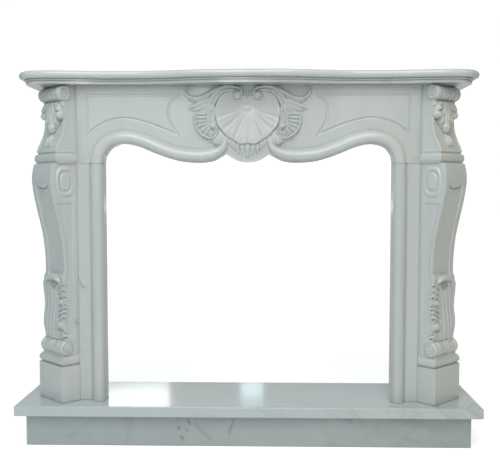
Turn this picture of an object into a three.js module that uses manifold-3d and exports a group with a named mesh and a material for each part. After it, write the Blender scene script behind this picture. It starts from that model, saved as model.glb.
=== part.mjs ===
// Marble fireplace mantel: serpentine shelf, shell frieze, two consoles turned outwards, raised hearth.
// Millimetres, Z up, front towards -Y. Depths are measured forwards from the wall plane behind it.
import * as THREE from "three";
import { mergeVertices } from "three/addons/utils/BufferGeometryUtils.js";
import Module from "manifold-3d";

const wasm = await Module();
wasm.setup();

// Hearth
const slabOverhang = 48.8; // beyond the plinths' outer corners
const slabReach = 82; // in front of the frame's face
const slabThickness = 36;
const slabEdgeRadius = 4;
const riserHeight = 110;
const riserSetback = 33;
const riserBoard = 30;

// Frame around the opening
const openingWidth = 998;
const jambHeight = 830;
const friezeHeight = 267;
const frameDepth = 268;
const frameThickness = 47;
const torusWidth = 42;
const torusHeight = 20;
const quirkWidth = 10;
const quirkDepth = 6;
const grooveWidth = 13;
const grooveDepth = 4;
const panelMargin = 36;

// Consoles, turned 45 degrees outwards
const jambWidth = 91;
const plinthHeight = 128;
const plinthReach = 72;
const plinthBreadth = 156;
const legInset = 12; // of the flanks of leg and capital inside the plinth's
const mouldingInset = 5; // of the rolls and the capital's torus inside the plinth's sides
const borderWidth = 13; // of the sunk panels, but for the one in the leg's face
const faceBorder = 24;
const panelSink = 4;
const capHeight = 36;
const footRollRadius = 24;
const headRollRadius = 27;
const baseTorusHeight = 32;
const torusSwell = 5;
const capInset = 4; // of the cap moulding behind the plinth's face
const neckInset = 28; // of the plain stone behind the foot's roll
const rollInset = 5; // of the head's roll behind the plinth's face

// Side returns back to the wall
const returnThickness = 30;

// Shelf
const shelfThickness = 42;
const shelfOverhang = 11.8; // of its lowest member beyond the plinths' outer corners
const shelfReach = 35; // of its lowest member in front of the frame's face
const centreBow = 39;
const earBow = 20;
const shelfCorner = 62;
const bullnoseRadius = 12.5;
const bullnoseReach = 23;
const bandHeight = 8;
const filletHeight = 5;

const jointGap = 0.3; // left between neighbouring stones
const bite = 8; // how far a carved form runs into the stone behind it

// Levels and lines that follow from the sizes
const hearthTop = riserHeight + slabThickness;
const legBottom = plinthHeight;
const legHeight = jambHeight - plinthHeight;
const halfOpening = openingWidth / 2;
const consoleStart = halfOpening + jambWidth;
const blockDepth = plinthBreadth * Math.SQRT1_2;
const returnOuter = consoleStart + blockDepth;
const consoleBack = frameDepth - blockDepth;
const consoleOuter = consoleStart + (plinthBreadth + plinthReach) * Math.SQRT1_2;
const slabWidth = 2 * (consoleOuter + slabOverhang);
const slabDepth = frameDepth + slabReach;
const shelfHalfWidth = consoleOuter + shelfOverhang;
const shelfDepth = frameDepth + shelfReach;
const overallDepth = shelfDepth + centreBow + bullnoseReach;
const friezePercent = friezeHeight / 100; // the frieze's carving is laid out in hundredths of its height

const marble = (color, roughness) => new THREE.MeshStandardMaterial({ color, roughness, metalness: 0 });
const carvedMarble = marble(0xbfc8c9, 0.32);
const shelfMarble = marble(0xc4cdce, 0.18);
const hearthMarble = marble(0xaab6ba, 0.15);

// Closed surfaces and solids

function toSolid(geometry) {
  const bare = new THREE.BufferGeometry();
  bare.setAttribute("position", geometry.getAttribute("position").clone());
  bare.setIndex(geometry.index);
  const merged = mergeVertices(bare, 1e-3);
  const vertices = merged.getAttribute("position").array;
  const corners = new Uint32Array(merged.index.array);
  if (volumeOf(vertices, corners) < 0) turnRound(corners);
  return new wasm.Manifold(new wasm.Mesh({ numProp: 3, vertProperties: vertices, triVerts: corners }));
}

function volumeOf(vertices, corners) {
  const [p, q, r] = [new THREE.Vector3(), new THREE.Vector3(), new THREE.Vector3()];
  let sum = 0;
  for (let i = 0; i < corners.length; i += 3) {
    p.fromArray(vertices, 3 * corners[i]);
    q.fromArray(vertices, 3 * corners[i + 1]);
    r.fromArray(vertices, 3 * corners[i + 2]);
    sum += p.dot(q.cross(r)) / 6;
  }
  return sum;
}

function turnRound(corners) {
  for (let i = 0; i < corners.length; i += 3) {
    [corners[i + 1], corners[i + 2]] = [corners[i + 2], corners[i + 1]];
  }
}

function join(geometries, start = null) {
  return geometries.reduce((sum, each) => (sum ? sum.add(toSolid(each)) : toSolid(each)), start);
}

function cut(solid, geometries) {
  return geometries.reduce((rest, each) => rest.subtract(toSolid(each)), solid);
}

// A named stone. Side -1 mirrors it to the left.
function stone(name, solid, material, side = 1) {
  const made = solid.getMesh();
  const corners = new Uint32Array(made.triVerts);
  const geometry = new THREE.BufferGeometry();
  geometry.setAttribute("position", new THREE.BufferAttribute(new Float32Array(made.vertProperties), 3));
  geometry.scale(side, 1, 1);
  if (side < 0) turnRound(corners);
  geometry.setIndex(new THREE.BufferAttribute(corners, 1));
  geometry.computeVertexNormals();
  const mesh = new THREE.Mesh(geometry, material);
  mesh.name = name;
  return mesh;
}

// Skin over a row of rings with the same number of points, closed at both ends.
function loft(rings) {
  const count = rings[0].length;
  const positions = rings.flat().flatMap((p) => p.toArray());
  const index = [];
  for (let k = 0; k + 1 < rings.length; k++) {
    for (let i = 0; i < count; i++) {
      const [a, b] = [k * count + i, k * count + ((i + 1) % count)];
      index.push(a, b, b + count, a, b + count, a + count);
    }
  }
  const last = (rings.length - 1) * count;
  capFaces(rings[0]).forEach(([a, b, c]) => index.push(a, c, b));
  capFaces(rings[rings.length - 1]).forEach(([a, b, c]) => index.push(last + a, last + b, last + c));
  const geometry = new THREE.BufferGeometry();
  geometry.setAttribute("position", new THREE.Float32BufferAttribute(positions, 3));
  return geometry.setIndex(index);
}

// Triangles that fill a flat ring.
function capFaces(ring) {
  const normal = new THREE.Vector3();
  ring.forEach((p, i) => normal.add(p.clone().cross(ring[(i + 1) % ring.length])));
  normal.normalize();
  const across = ring[1].clone().sub(ring[0]).normalize();
  const up = normal.clone().cross(across);
  return THREE.ShapeUtils.triangulateShape(
    ring.map((p) => new THREE.Vector2(p.dot(across), p.dot(up))),
    [],
  );
}

// A flat outline in plan, raised from one level to another.
function prism(outline, bottom, top) {
  const shape = new THREE.Shape(outline.map(([x, y]) => new THREE.Vector2(x, y)));
  const geometry = new THREE.ExtrudeGeometry(shape, { depth: top - bottom, bevelEnabled: false });
  return geometry.translate(0, 0, bottom);
}

// A block between two corners.
function block([x0, y0, z0], [x1, y1, z1]) {
  const geometry = new THREE.BoxGeometry(x1 - x0, y1 - y0, z1 - z0);
  return geometry.translate((x0 + x1) / 2, (y0 + y1) / 2, (z0 + z1) / 2);
}

// Smooth curve of a value against a position, through the given pairs.
function curveThrough(pairs) {
  const positions = pairs.map((p) => p[0]);
  const values = pairs.map((p) => p[1]);
  const curve = new THREE.CubicInterpolant(positions, values, 1, new Float32Array(1));
  return (at) => curve.evaluate(THREE.MathUtils.clamp(at, positions[0], positions.at(-1)))[0];
}

// Carving, drawn on a face: a to the right, b upwards, h out of the stone

const roundSection = (parts) =>
  Array.from({ length: parts + 1 }, (_, i) => [
    -Math.cos((Math.PI * i) / parts) / 2,
    Math.sin((Math.PI * i) / parts),
  ]);

// A rounded strip along a line, thinned to the given shares of its size at its two ends.
function strip(line, width, height, { ends = [1, 1], taper = 0.4, steps = 6, parts = 3 } = {}) {
  const curve = new THREE.SplineCurve(line.map(([a, b]) => new THREE.Vector2(a, b)));
  const section = roundSection(parts);
  const rings = [];
  for (let k = 0; k <= steps; k++) {
    const t = k / steps;
    const at = curve.getPointAt(t);
    const run = curve.getTangentAt(t);
    const thinned = ([share, from]) => THREE.MathUtils.lerp(share, 1, Math.min(1, from / taper));
    const size = Math.min(thinned([ends[0], t]), thinned([ends[1], 1 - t]));
    const ring = section.map(([s, rise]) => {
      const off = s * width * size;
      return new THREE.Vector3(at.x + run.y * off, at.y - run.x * off, rise * height * size);
    });
    ring[0].z = ring[parts].z = -bite;
    rings.push(ring);
  }
  return loft(rings);
}

// A V-shaped channel along a line, to be cut out.
function channel(line, width, depth, steps = 8) {
  const curve = new THREE.SplineCurve(line.map(([a, b]) => new THREE.Vector2(a, b)));
  const rings = curve.getSpacedPoints(steps).map((at, k) => {
    const run = curve.getTangentAt(k / steps);
    const corner = (share, h) =>
      new THREE.Vector3(at.x + run.y * width * share, at.y - run.x * width * share, h);
    return [corner(-0.6, 1), corner(0, -depth), corner(0.6, 1)];
  });
  return loft(rings);
}

// A boss, as a flattened ball set in the face.
function boss(a, b, radius, height, tall = 1) {
  const ball = new THREE.SphereGeometry(radius, 7, 4);
  return ball.scale(1, tall, height / radius).translate(a, b, 0);
}

// An upright oval, all but closed.
function oval([a, b], [wide, tall], points = 13) {
  return Array.from({ length: points }, (_, i) => {
    const angle = Math.PI * (0.98 - (1.96 * i) / (points - 1));
    return [a + wide * Math.cos(angle), b + tall * Math.sin(angle)];
  });
}

// Sets carved forms on a face, lifted by what the face stands proud at each height.
function setOn(face, carvings, proud = () => 0) {
  return carvings.map((each) => {
    const spots = each.getAttribute("position");
    for (let i = 0; i < spots.count; i++) spots.setZ(i, spots.getZ(i) + proud(spots.getY(i)));
    return each.applyMatrix4(face);
  });
}

const faceOf = (a, b, h, origin) => new THREE.Matrix4().makeBasis(a, b, h).setPosition(origin);
const [right, up, out] = [
  new THREE.Vector3(1, 0, 0),
  new THREE.Vector3(0, 0, 1),
  new THREE.Vector3(0, -1, 0),
];
const scaled = (line, size) => line.map(([a, b]) => [a * size, b * size]);

// Hearth

function hearthSlab() {
  const edge = slabEdgeRadius;
  const ring = (level, inset) =>
    [
      [-slabWidth / 2 + inset, 0],
      [-slabWidth / 2 + inset, -slabDepth + inset],
      [slabWidth / 2 - inset, -slabDepth + inset],
      [slabWidth / 2 - inset, 0],
    ].map(([x, y]) => new THREE.Vector3(x, y, level));
  return toSolid(
    loft([
      ring(riserHeight + jointGap, edge / 2),
      ring(riserHeight + jointGap + edge / 2, 0),
      ring(hearthTop - edge, 0),
      ring(hearthTop - edge / 3, edge / 3),
      ring(hearthTop, edge),
    ]),
  );
}

function riserFront() {
  const half = slabWidth / 2 - riserSetback;
  const face = slabDepth - riserSetback;
  return toSolid(block([-half, -face, 0], [half, riserBoard - face, riserHeight]));
}

function riserEnd() {
  const half = slabWidth / 2 - riserSetback;
  const behind = slabDepth - riserSetback - riserBoard - jointGap;
  return toSolid(block([half - riserBoard, -behind, 0], [half, 0, riserHeight]));
}

// Frieze

// The lower edge of the frieze from the cusp beside the pendant out to the jamb.
function archEdge() {
  const crown = halfOpening - 28 * friezePercent;
  const lobe = 63 * friezePercent;
  const rise = 25 * friezePercent;
  const between = (share, lift) => [THREE.MathUtils.lerp(lobe, crown, share), rise * lift];
  return [
    [27.5 * friezePercent, 12 * friezePercent],
    [43 * friezePercent, 3.8 * friezePercent],
    [lobe, friezePercent],
    between(0.28, 0.14),
    between(0.55, 0.46),
    between(0.79, 0.84),
    [crown, rise],
    [halfOpening - 11 * friezePercent, 21 * friezePercent],
    [halfOpening - 2.2 * friezePercent, 10.5 * friezePercent],
    [halfOpening, 0],
  ];
}

function friezeOutline() {
  const curve = new THREE.SplineCurve(archEdge().map(([x, z]) => new THREE.Vector2(x, z)));
  const pendant = new THREE.SplineCurve(
    scaled([[0, 1.5], [10, 2.8], [19.5, 6.8], [27.5, 12]], friezePercent).map((p) => new THREE.Vector2(...p)),
  );
  const [pendantParts, edgeParts] = [3, 16];
  const edge = [...pendant.getPoints(pendantParts), ...curve.getSpacedPoints(edgeParts).slice(1)];
  const half = consoleStart - jointGap;
  const rightHalf = [...edge.map((p) => [p.x, p.y]), [half, 0], [half, friezeHeight - jointGap]];
  const leftHalf = rightHalf.slice(1).reverse().map(([x, z]) => [-x, z]);
  return [...rightHalf, ...leftHalf];
}

// The rolled moulding over the arch: its centre line runs from the jamb into a scroll beside the pendant.
function archTorus() {
  const lift = torusWidth / 2 + 1;
  const curve = new THREE.SplineCurve(archEdge().slice(2).map(([x, z]) => new THREE.Vector2(x, z)));
  const parts = 12;
  const centre = curve.getSpacedPoints(parts).map((p, i) => {
    const run = curve.getTangentAt(i / parts);
    return [p.x - run.y * lift, p.y + run.x * lift];
  });
  centre[parts] = [halfOpening + lift, 0];
  const scroll = scaled([[37, 37.5], [31.5, 29.5], [33, 20.5], [39, 14.5], [50, 10]], friezePercent);
  return strip([...scroll, ...centre], torusWidth, torusHeight, {
    ends: [0.4, 1], taper: 0.2, steps: 18, parts: 4,
  });
}

// Grooved outline of one panel, on the right.
function panelGrooves() {
  const outer = consoleStart - panelMargin;
  const top = 87.5 * friezePercent;
  const foot = 36.5 * friezePercent;
  const crown = halfOpening - 31 * friezePercent;
  const inner = 90 * friezePercent;
  const at = (share, level) => [THREE.MathUtils.lerp(inner, outer, share), level * friezePercent];
  const arc = [at(0.9, 46.5), at(0.77, 54.5), [crown, 58.2 * friezePercent], at(0.3, 51)];
  const side = [at(0.075, 79), at(0.105, 67), at(0.085, 53)];
  return [
    channel([[inner, top], [outer, top]], grooveWidth, grooveDepth, 1),
    channel([[outer, top], [outer, foot]], grooveWidth, grooveDepth, 1),
    channel([[outer, foot], ...arc, [inner, foot]], grooveWidth, grooveDepth, 9),
    channel([[inner, top], ...side, [inner, foot]], grooveWidth, grooveDepth, 7),
  ];
}

// The concave shell: a dish with fluted lobes below and a plain lip under the scrolls above.
function shellDish() {
  const [middle, lobes, lobeParts, plainParts, circles] = [71, 9, 4, 8, 2];
  const [lobesFrom, lobesTo] = [-164, -16];
  const reach = curveThrough([
    [-164, 44.5], [-127, 44], [-105, 46], [-90, 46], [-75, 46], [-53, 44], [-16, 44.5],
    [0, 40.5], [21, 36.5], [33, 33], [45, 28], [62, 16], [90, 12],
    [118, 16], [135, 28], [147, 33], [159, 36.5], [180, 40.5], [196, 44.5],
  ]);
  const sectors = lobes * lobeParts + plainParts;
  const spots = [new THREE.Vector3(0, middle, 3)];
  for (let j = 1; j <= circles; j++) {
    for (let i = 0; i < sectors; i++) {
      const low = i <= lobes * lobeParts;
      const beyond = (i - lobes * lobeParts) / plainParts;
      const degrees = low
        ? THREE.MathUtils.lerp(lobesFrom, lobesTo, i / (lobes * lobeParts))
        : THREE.MathUtils.lerp(lobesTo, lobesFrom + 360, beyond);
      const angle = THREE.MathUtils.degToRad(degrees);
      const bulge = low ? Math.abs(Math.sin((Math.PI * i) / lobeParts)) - 0.5 : 0;
      const share = j / circles;
      const r = reach(degrees) * share * (1 + 0.06 * bulge * share);
      const lip = (low ? 5.5 : 3) * share ** 2;
      const proud = 1.5 + lip + 2 * bulge * share;
      spots.push(new THREE.Vector3(r * Math.cos(angle), middle + r * Math.sin(angle), proud));
    }
  }
  const foot = -bite / friezePercent;
  const rim = spots.slice(-sectors).map((p) => new THREE.Vector3(p.x, p.y, foot));
  const all = [...spots, ...rim, new THREE.Vector3(0, middle, foot)];
  const at = (j, i) => 1 + (j - 1) * sectors + (i % sectors);
  const index = [];
  for (let i = 0; i < sectors; i++) {
    index.push(0, at(1, i), at(1, i + 1), at(circles + 1, i + 1), at(circles + 1, i), all.length - 1);
    for (let j = 1; j <= circles; j++) {
      index.push(at(j, i), at(j + 1, i), at(j + 1, i + 1), at(j, i), at(j + 1, i + 1), at(j, i + 1));
    }
  }
  const geometry = new THREE.BufferGeometry().setFromPoints(all).setIndex(index);
  return geometry.scale(friezePercent, friezePercent, friezePercent);
}

// Scrolls, leaves, comb and palmette on the right half of the cartouche.
function cartoucheHalf() {
  const line = (pairs) => scaled(pairs, friezePercent);
  const carve = (pairs, width, height, options) =>
    strip(line(pairs), width * friezePercent, height * friezePercent, options);
  const ball = (a, b, radius, height, tall) =>
    boss(a * friezePercent, b * friezePercent, radius * friezePercent, height * friezePercent, tall);
  const long = { steps: 7, ends: [0.8, 0.5] };
  const leaf = { steps: 3, ends: [0.7, 0.2] };
  const tongue = { steps: 3, ends: [0.6, 0.35], parts: 2 };
  const single = { steps: 1, parts: 2 };
  const outerScroll = [
    [9, 89], [10, 93], [15, 95.6], [22.5, 96.4], [33, 92.5], [40.5, 86], [44.2, 77], [44.8, 68], [43.5, 60],
  ];
  const innerScroll = [[20, 90], [27.6, 89], [34, 84], [38, 76.5], [39.6, 68], [41.5, 61]];
  const sweepingBand = [
    [26, 96], [38, 91.5], [48, 86.5], [57, 82.8], [67, 81], [75, 83], [78.6, 88], [77.5, 93.5], [73, 95],
  ];
  const combRim = [
    [66, 64], [67.4, 55.5], [65, 46.5], [59.8, 40], [53.5, 35], [47, 31.8], [41, 34.5], [38.2, 40.5],
    [40, 47],
  ];
  const forms = [
    carve(outerScroll, 4.6, 10, long),
    carve(innerScroll, 3.6, 8, long),
    ball(13.6, 88, 6.4, 9.5),
    carve(sweepingBand, 3.6, 5.5, long),
    carve([[44, 84], [53, 79.3], [63.5, 74.6], [75, 73]], 5.6, 6, leaf),
    carve([[45, 78.5], [54, 72.5], [64, 68.3], [76.5, 67.3]], 6, 6.5, leaf),
    carve([[47, 74.5], [54, 69], [60, 65]], 5, 6.5, leaf),
    carve([[42.8, 77], [46.5, 68.5], [49.3, 60], [51, 53]], 6.5, 6.5, tongue),
    carve([[41.5, 72], [43.8, 65], [44.5, 56.5]], 5.5, 7, tongue),
    carve(combRim, 3.4, 5.8, long),
    ball(43.3, 45.5, 5.6, 5),
    ball(40.5, 30, 7, 6.5),
  ];
  const combRibs = 7;
  for (let k = 0; k < combRibs; k++) {
    const angle = THREE.MathUtils.degToRad(22 - (k * 118) / (combRibs - 1));
    const root = [50 + 7 * Math.cos(angle), 51 + 8 * Math.sin(angle)];
    const tip = [50.5 + 15.5 * Math.cos(angle), 52 + 18 * Math.sin(angle)];
    forms.push(carve([root, tip], 3.7, 4.4, single));
  }
  const palmetteRibs = 6;
  for (let k = 0; k < palmetteRibs; k++) {
    const a = 5.1 * k;
    const rim = curveThrough([[0, 26.5], [10, 25.5], [16, 28], [21, 32], [26, 36]])(a);
    forms.push(carve([[a, rim], [a * 0.94, rim - (k < 2 ? 19 : 15.5)]], 4.4, 4.4, single));
  }
  forms.push(carve([[0, 86.5], [0, 98]], 3.4, 5, single), carve([[3.6, 86.8], [3.8, 98]], 3.2, 4.2, single));
  return forms;
}

function frieze() {
  const outline = new THREE.Shape(friezeOutline().map(([x, z]) => new THREE.Vector2(x, z)));
  const slab = new THREE.ExtrudeGeometry(outline, { depth: frameThickness, bevelEnabled: false });
  const bottom = hearthTop + jambHeight;
  const back = faceOf(right, up, out, new THREE.Vector3(0, frameThickness - frameDepth, bottom));
  const front = faceOf(right, up, out, new THREE.Vector3(0, -frameDepth, bottom));
  const mirrored = faceOf(right.clone().negate(), up, out, new THREE.Vector3(0, -frameDepth, bottom));
  const plain = cut(toSolid(slab.applyMatrix4(back)), [
    ...setOn(front, panelGrooves()),
    ...setOn(mirrored, panelGrooves()),
  ]);
  const carved = join(
    [
      ...setOn(front, [archTorus()]),
      ...setOn(mirrored, [archTorus()]),
      ...setOn(front, cartoucheHalf()),
      ...setOn(mirrored, cartoucheHalf()),
      ...setOn(front, [shellDish()]),
    ],
    plain,
  );
  const room = consoleStart - jointGap;
  const reach = frameDepth + shelfDepth;
  return carved.intersect(
    toSolid(block([-room, -reach, bottom], [room, 0, bottom + friezeHeight - jointGap])),
  );
}

// Jamb

function jamb() {
  const [bottom, top] = [hearthTop + jointGap, hearthTop + jambHeight - jointGap];
  const face = faceOf(right, up, out, new THREE.Vector3(0, -frameDepth, 0));
  const torusCentre = halfOpening + torusWidth / 2 + 1;
  const quirkCentre = torusCentre + (torusWidth + quirkWidth) / 2;
  const body = toSolid(
    block([halfOpening, -frameDepth, bottom], [consoleStart - jointGap, frameThickness - frameDepth, top]),
  );
  const quirk = channel([[quirkCentre, bottom - 1], [quirkCentre, top + 1]], quirkWidth, quirkDepth, 1);
  const straight = { steps: 1, parts: 8 };
  const torus = strip([[torusCentre, bottom], [torusCentre, top]], torusWidth, torusHeight, straight);
  return join(setOn(face, [torus]), cut(body, setOn(face, [quirk])));
}

// Consoles. Their own directions: across the broad face, and outwards from it.

const across = new THREE.Vector3(Math.SQRT1_2, Math.SQRT1_2, 0);
const outwards = new THREE.Vector3(Math.SQRT1_2, -Math.SQRT1_2, 0);
const consoleCorner = new THREE.Vector3(consoleStart, -frameDepth, hearthTop);
const broadFace = faceOf(across, up, outwards, consoleCorner);
const flankFace = faceOf(
  outwards, up, across.clone().negate(),
  consoleCorner.clone().addScaledVector(across, legInset),
);
const [legInner, legOuter] = [legInset, plinthBreadth - legInset];
const legMiddle = plinthBreadth / 2;

// The plain stone behind the turned face, up to the frame and the side return.
function backing(bottom, top) {
  return prism(
    [
      [consoleStart, -consoleBack],
      [consoleStart, -frameDepth],
      [returnOuter, -consoleBack],
    ],
    hearthTop + bottom,
    hearthTop + top,
  );
}

// A turned block whose front and flanks swell out as the levels say.
function turnedBlock(levels, [inner, outer], reach) {
  const rings = levels.map(([level, swell]) =>
    [
      [inner - swell, -bite],
      [inner - swell, reach + swell],
      [outer + swell, reach + swell],
      [outer + swell, -bite],
    ].map(([a, h]) => new THREE.Vector3(a, level, h)),
  );
  return loft(rings).applyMatrix4(broadFace);
}

const roundLevels = (bottom, height, swell) =>
  [0, 0.12, 0.5, 0.88, 1].map((share) => [
    bottom + height * share,
    swell * (Math.sqrt(Math.max(0, 1 - (2 * share - 1) ** 2)) - 0.5),
  ]);

// The body of a console: its face follows a curve, and a bordered panel is sunk in face and flank.
function consoleBody(face, bottom, top, steps, sunk, border = borderWidth) {
  const rings = [];
  for (let k = 0; k <= steps; k++) {
    const level = THREE.MathUtils.lerp(bottom, top, k / steps);
    const h = face(level);
    const depth = sunk(level) * panelSink;
    const bevel = panelSink / 2;
    rings.push(
      [
        [legInner, -bite],
        [legInner, 0.12 * plinthReach],
        [legInner + depth, 0.16 * plinthReach],
        [legInner + depth, h - borderWidth - bevel],
        [legInner, h - borderWidth],
        [legInner, h],
        [legInner + border, h],
        [legInner + border + bevel, h - depth],
        [legOuter - border - bevel, h - depth],
        [legOuter - border, h],
        [legOuter, h],
        [legOuter, -bite],
      ].map(([a, proud]) => new THREE.Vector3(a, level, proud)),
    );
  }
  return loft(rings).applyMatrix4(broadFace);
}

// A roll lying across the console, reeded, with an eye in a sunk ring at both ends.
function reededRoll(radius, level, centre, reeds) {
  const [from, to] = [mouldingInset, plinthBreadth - mouldingInset];
  const eye = 0.4 * radius;
  const inner = 0.72 * radius;
  const profile = [[0, from], [eye, from], [eye, from + panelSink], [inner, from + panelSink], [inner, from]];
  const pitch = (to - from) / reeds;
  profile.push([0.88 * radius, from]);
  for (let k = 0; k < reeds; k++) {
    profile.push([radius, from + pitch * (k + 0.5)], [0.88 * radius, from + pitch * (k + 1)]);
  }
  profile.push([0, to]);
  const turns = 8;
  const lathe = new THREE.LatheGeometry(profile.map(([r, a]) => new THREE.Vector2(r, a)), turns);
  return lathe.rotateZ(-Math.PI / 2).translate(0, level, centre).applyMatrix4(broadFace);
}

// Lobes of a leaf that spring from one point of the midrib, each to a share of the half breadth and a level.
function lobes(root, tips, width, height) {
  return tips.flatMap(([offset, level]) =>
    (offset ? [-1, 1] : [1]).map((side) => {
      const end = legMiddle + (side * offset * plinthBreadth) / 2;
      const bend = [THREE.MathUtils.lerp(legMiddle, end, 0.85), THREE.MathUtils.lerp(root, level, 0.5)];
      return strip([[legMiddle, root], bend, [end, level]], width, height, { ends: [0.6, 0.6], steps: 2 });
    }),
  );
}

function plinth() {
  const [bottom, top] = [jointGap, plinthHeight - jointGap];
  return join([
    backing(bottom, top),
    turnedBlock([[bottom, 0], [top, 0]], [0, plinthBreadth], plinthReach),
  ]).intersect(consoleRoom(bottom, top));
}

// The face of the leg: how far it stands out, as shares of leg height and plinth reach.
const legCurve = curveThrough([
  [0, 0.553], [0.125, 0.553], [0.16, 0.583], [0.222, 0.633], [0.295, 0.543], [0.373, 0.633], [0.43, 0.653],
  [0.501, 0.663], [0.563, 0.693], [0.624, 0.763], [0.687, 0.883], [0.748, 1.033], [0.811, 1.178],
  [0.872, 1.289], [0.929, 1.338], [0.969, 1.289], [1, 1.206],
]);
const legFaceAt = (level) => plinthReach * legCurve((level - legBottom) / legHeight);
const legLevel = (share) => legBottom + share * legHeight;
const within = (level, from, to) => (level >= legLevel(from) && level <= legLevel(to) ? 1 : 0);

function leg() {
  const [bottom, top] = [legBottom, jambHeight - jointGap];
  const rollLevel = legBottom + capHeight + footRollRadius;
  const rollCentre = plinthReach - footRollRadius;
  const [leafFoot, leafTop] = [rollLevel + footRollRadius / 2, legLevel(0.4)];
  const leafRise = leafTop - leafFoot;
  const proud = 0.13 * plinthReach;
  const broadCarving = [
    strip([[legMiddle, leafFoot], [legMiddle, leafTop]], 0.46 * plinthBreadth, proud, { steps: 5, parts: 4 }),
    boss(legMiddle, leafTop, 0.26 * plinthBreadth, 2 * proud, 0.5),
  ];
  const sideLobes = 3;
  for (let k = 0; k < sideLobes; k++) {
    const level = leafFoot + (leafRise * k) / sideLobes;
    for (const side of [-1, 1]) {
      const spot = (share, lift) => [legMiddle + side * share * plinthBreadth, level + lift * leafRise];
      const lobe = [spot(0.2, 0), spot(0.3, 0.12), spot(0.38, 0.24)];
      broadCarving.push(strip(lobe, 0.17 * plinthBreadth, 1.2 * proud, { ends: [0.7, 0.6], steps: 2 }));
    }
  }
  const knee = legLevel(0.9);
  const panelWidth = legOuter - legInner - 2 * faceBorder;
  broadCarving.push(strip([[legMiddle, knee], [legMiddle, legLevel(0.875)]], panelWidth, panelSink, {
    ends: [1, 0.5], steps: 3, parts: 4,
  }));
  const medallion = [0.56 * plinthReach, legLevel(0.907)];
  const band = oval(medallion, [0.46 * plinthReach, 0.068 * legHeight]);
  const flankCarving = [
    strip(band, 0.18 * plinthReach, 0.05 * plinthReach, { steps: 14, parts: 2 }),
    boss(...medallion, 0.26 * plinthReach, 0.06 * plinthReach, 1.5),
  ];
  const bodySteps = 12;
  return join([
    backing(bottom, top),
    turnedBlock(roundLevels(bottom, capHeight, torusSwell), [0, plinthBreadth], plinthReach - capInset),
    turnedBlock([[bottom + capHeight / 2, 0], [rollLevel, 0]], [legInner, legOuter], plinthReach - neckInset),
    consoleBody(legFaceAt, rollLevel, top, bodySteps, (level) => within(level, 0.42, 0.9), faceBorder),
    reededRoll(footRollRadius, rollLevel, rollCentre, 5),
    ...setOn(broadFace, broadCarving, legFaceAt),
    ...setOn(flankFace, flankCarving),
  ]).intersect(consoleRoom(bottom, top));
}

// The space a console may fill: beyond the frame's face and the side return, between two levels.
function consoleRoom(bottom, top) {
  const reach = plinthReach + plinthBreadth;
  return toSolid(
    prism(
      [
        [consoleStart, -consoleBack],
        [consoleStart, -frameDepth],
        [consoleStart, -frameDepth - reach],
        [returnOuter + reach, -frameDepth - reach],
        [returnOuter + reach, -consoleBack],
      ],
      hearthTop + bottom,
      hearthTop + top,
    ),
  );
}

// The face of the capital, as shares of frieze height and plinth reach.
const capitalCurve = curveThrough([
  [0, 1.093], [0.13, 1.073], [0.21, 0.983], [0.29, 0.833], [0.37, 0.703],
  [0.45, 0.623], [0.54, 0.583], [0.65, 0.573], [0.78, 0.583], [1, 0.553],
]);
const capitalFaceAt = (level) => plinthReach * capitalCurve((level - jambHeight) / friezeHeight);

function capital() {
  const [bottom, top] = [jambHeight, jambHeight + friezeHeight - jointGap];
  const at = (share) => bottom + share * friezeHeight;
  const rollLevel = top - headRollRadius;
  const torusSides = [mouldingInset, plinthBreadth - mouldingInset];
  const bodySteps = 7;
  const leafTips = [[0.72, at(0.57)], [0.42, at(0.45)], [0, at(0.41)]];
  const flowerTips = [[0.2, at(0.22)], [0, at(0.2)]];
  const broadCarving = [
    ...lobes(at(0.78), leafTips, 0.23 * plinthBreadth, 0.2 * plinthReach),
    ...lobes(at(0.38), flowerTips, 0.09 * plinthBreadth, 0.1 * plinthReach),
  ];
  const sunk = (level) => (level > at(0.14) && level < at(0.78) ? 0.6 : 0);
  return join([
    backing(bottom, top),
    consoleBody(capitalFaceAt, bottom, top, bodySteps, sunk),
    turnedBlock(roundLevels(bottom, baseTorusHeight, torusSwell), torusSides, 1.08 * plinthReach),
    reededRoll(headRollRadius, rollLevel, plinthReach - headRollRadius - rollInset, 4),
    ...setOn(broadFace, broadCarving, capitalFaceAt),
  ]).intersect(consoleRoom(bottom, top));
}

function sideReturn() {
  const [bottom, top] = [hearthTop + jointGap, hearthTop + jambHeight + friezeHeight - jointGap];
  const front = jointGap - consoleBack;
  return toSolid(block([returnOuter - returnThickness, front, bottom], [returnOuter, 0, top]));
}

// Shelf

// The front line of the shelf's lowest member from the middle to the right-hand wall.
function shelfLine() {
  const { smoothstep } = THREE.MathUtils;
  const cornerStart = shelfHalfWidth - shelfCorner;
  const frontAt = (x) =>
    shelfDepth +
    centreBow * (1 - smoothstep(x / cornerStart, 0.12, 0.54)) +
    earBow * smoothstep(x / cornerStart, 0.68, 0.97);
  const points = [];
  const frontSteps = 12;
  for (let i = 0; i <= frontSteps; i++) {
    const x = (cornerStart * i) / frontSteps;
    points.push([x, -frontAt(x)]);
  }
  const cornerSteps = 4;
  const cornerY = -frontAt(cornerStart) + shelfCorner;
  for (let i = 1; i <= cornerSteps; i++) {
    const angle = (Math.PI / 2) * (i / cornerSteps - 1);
    points.push([cornerStart + shelfCorner * Math.cos(angle), cornerY + shelfCorner * Math.sin(angle)]);
  }
  points.push([shelfHalfWidth, 0]);
  return points;
}

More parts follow.
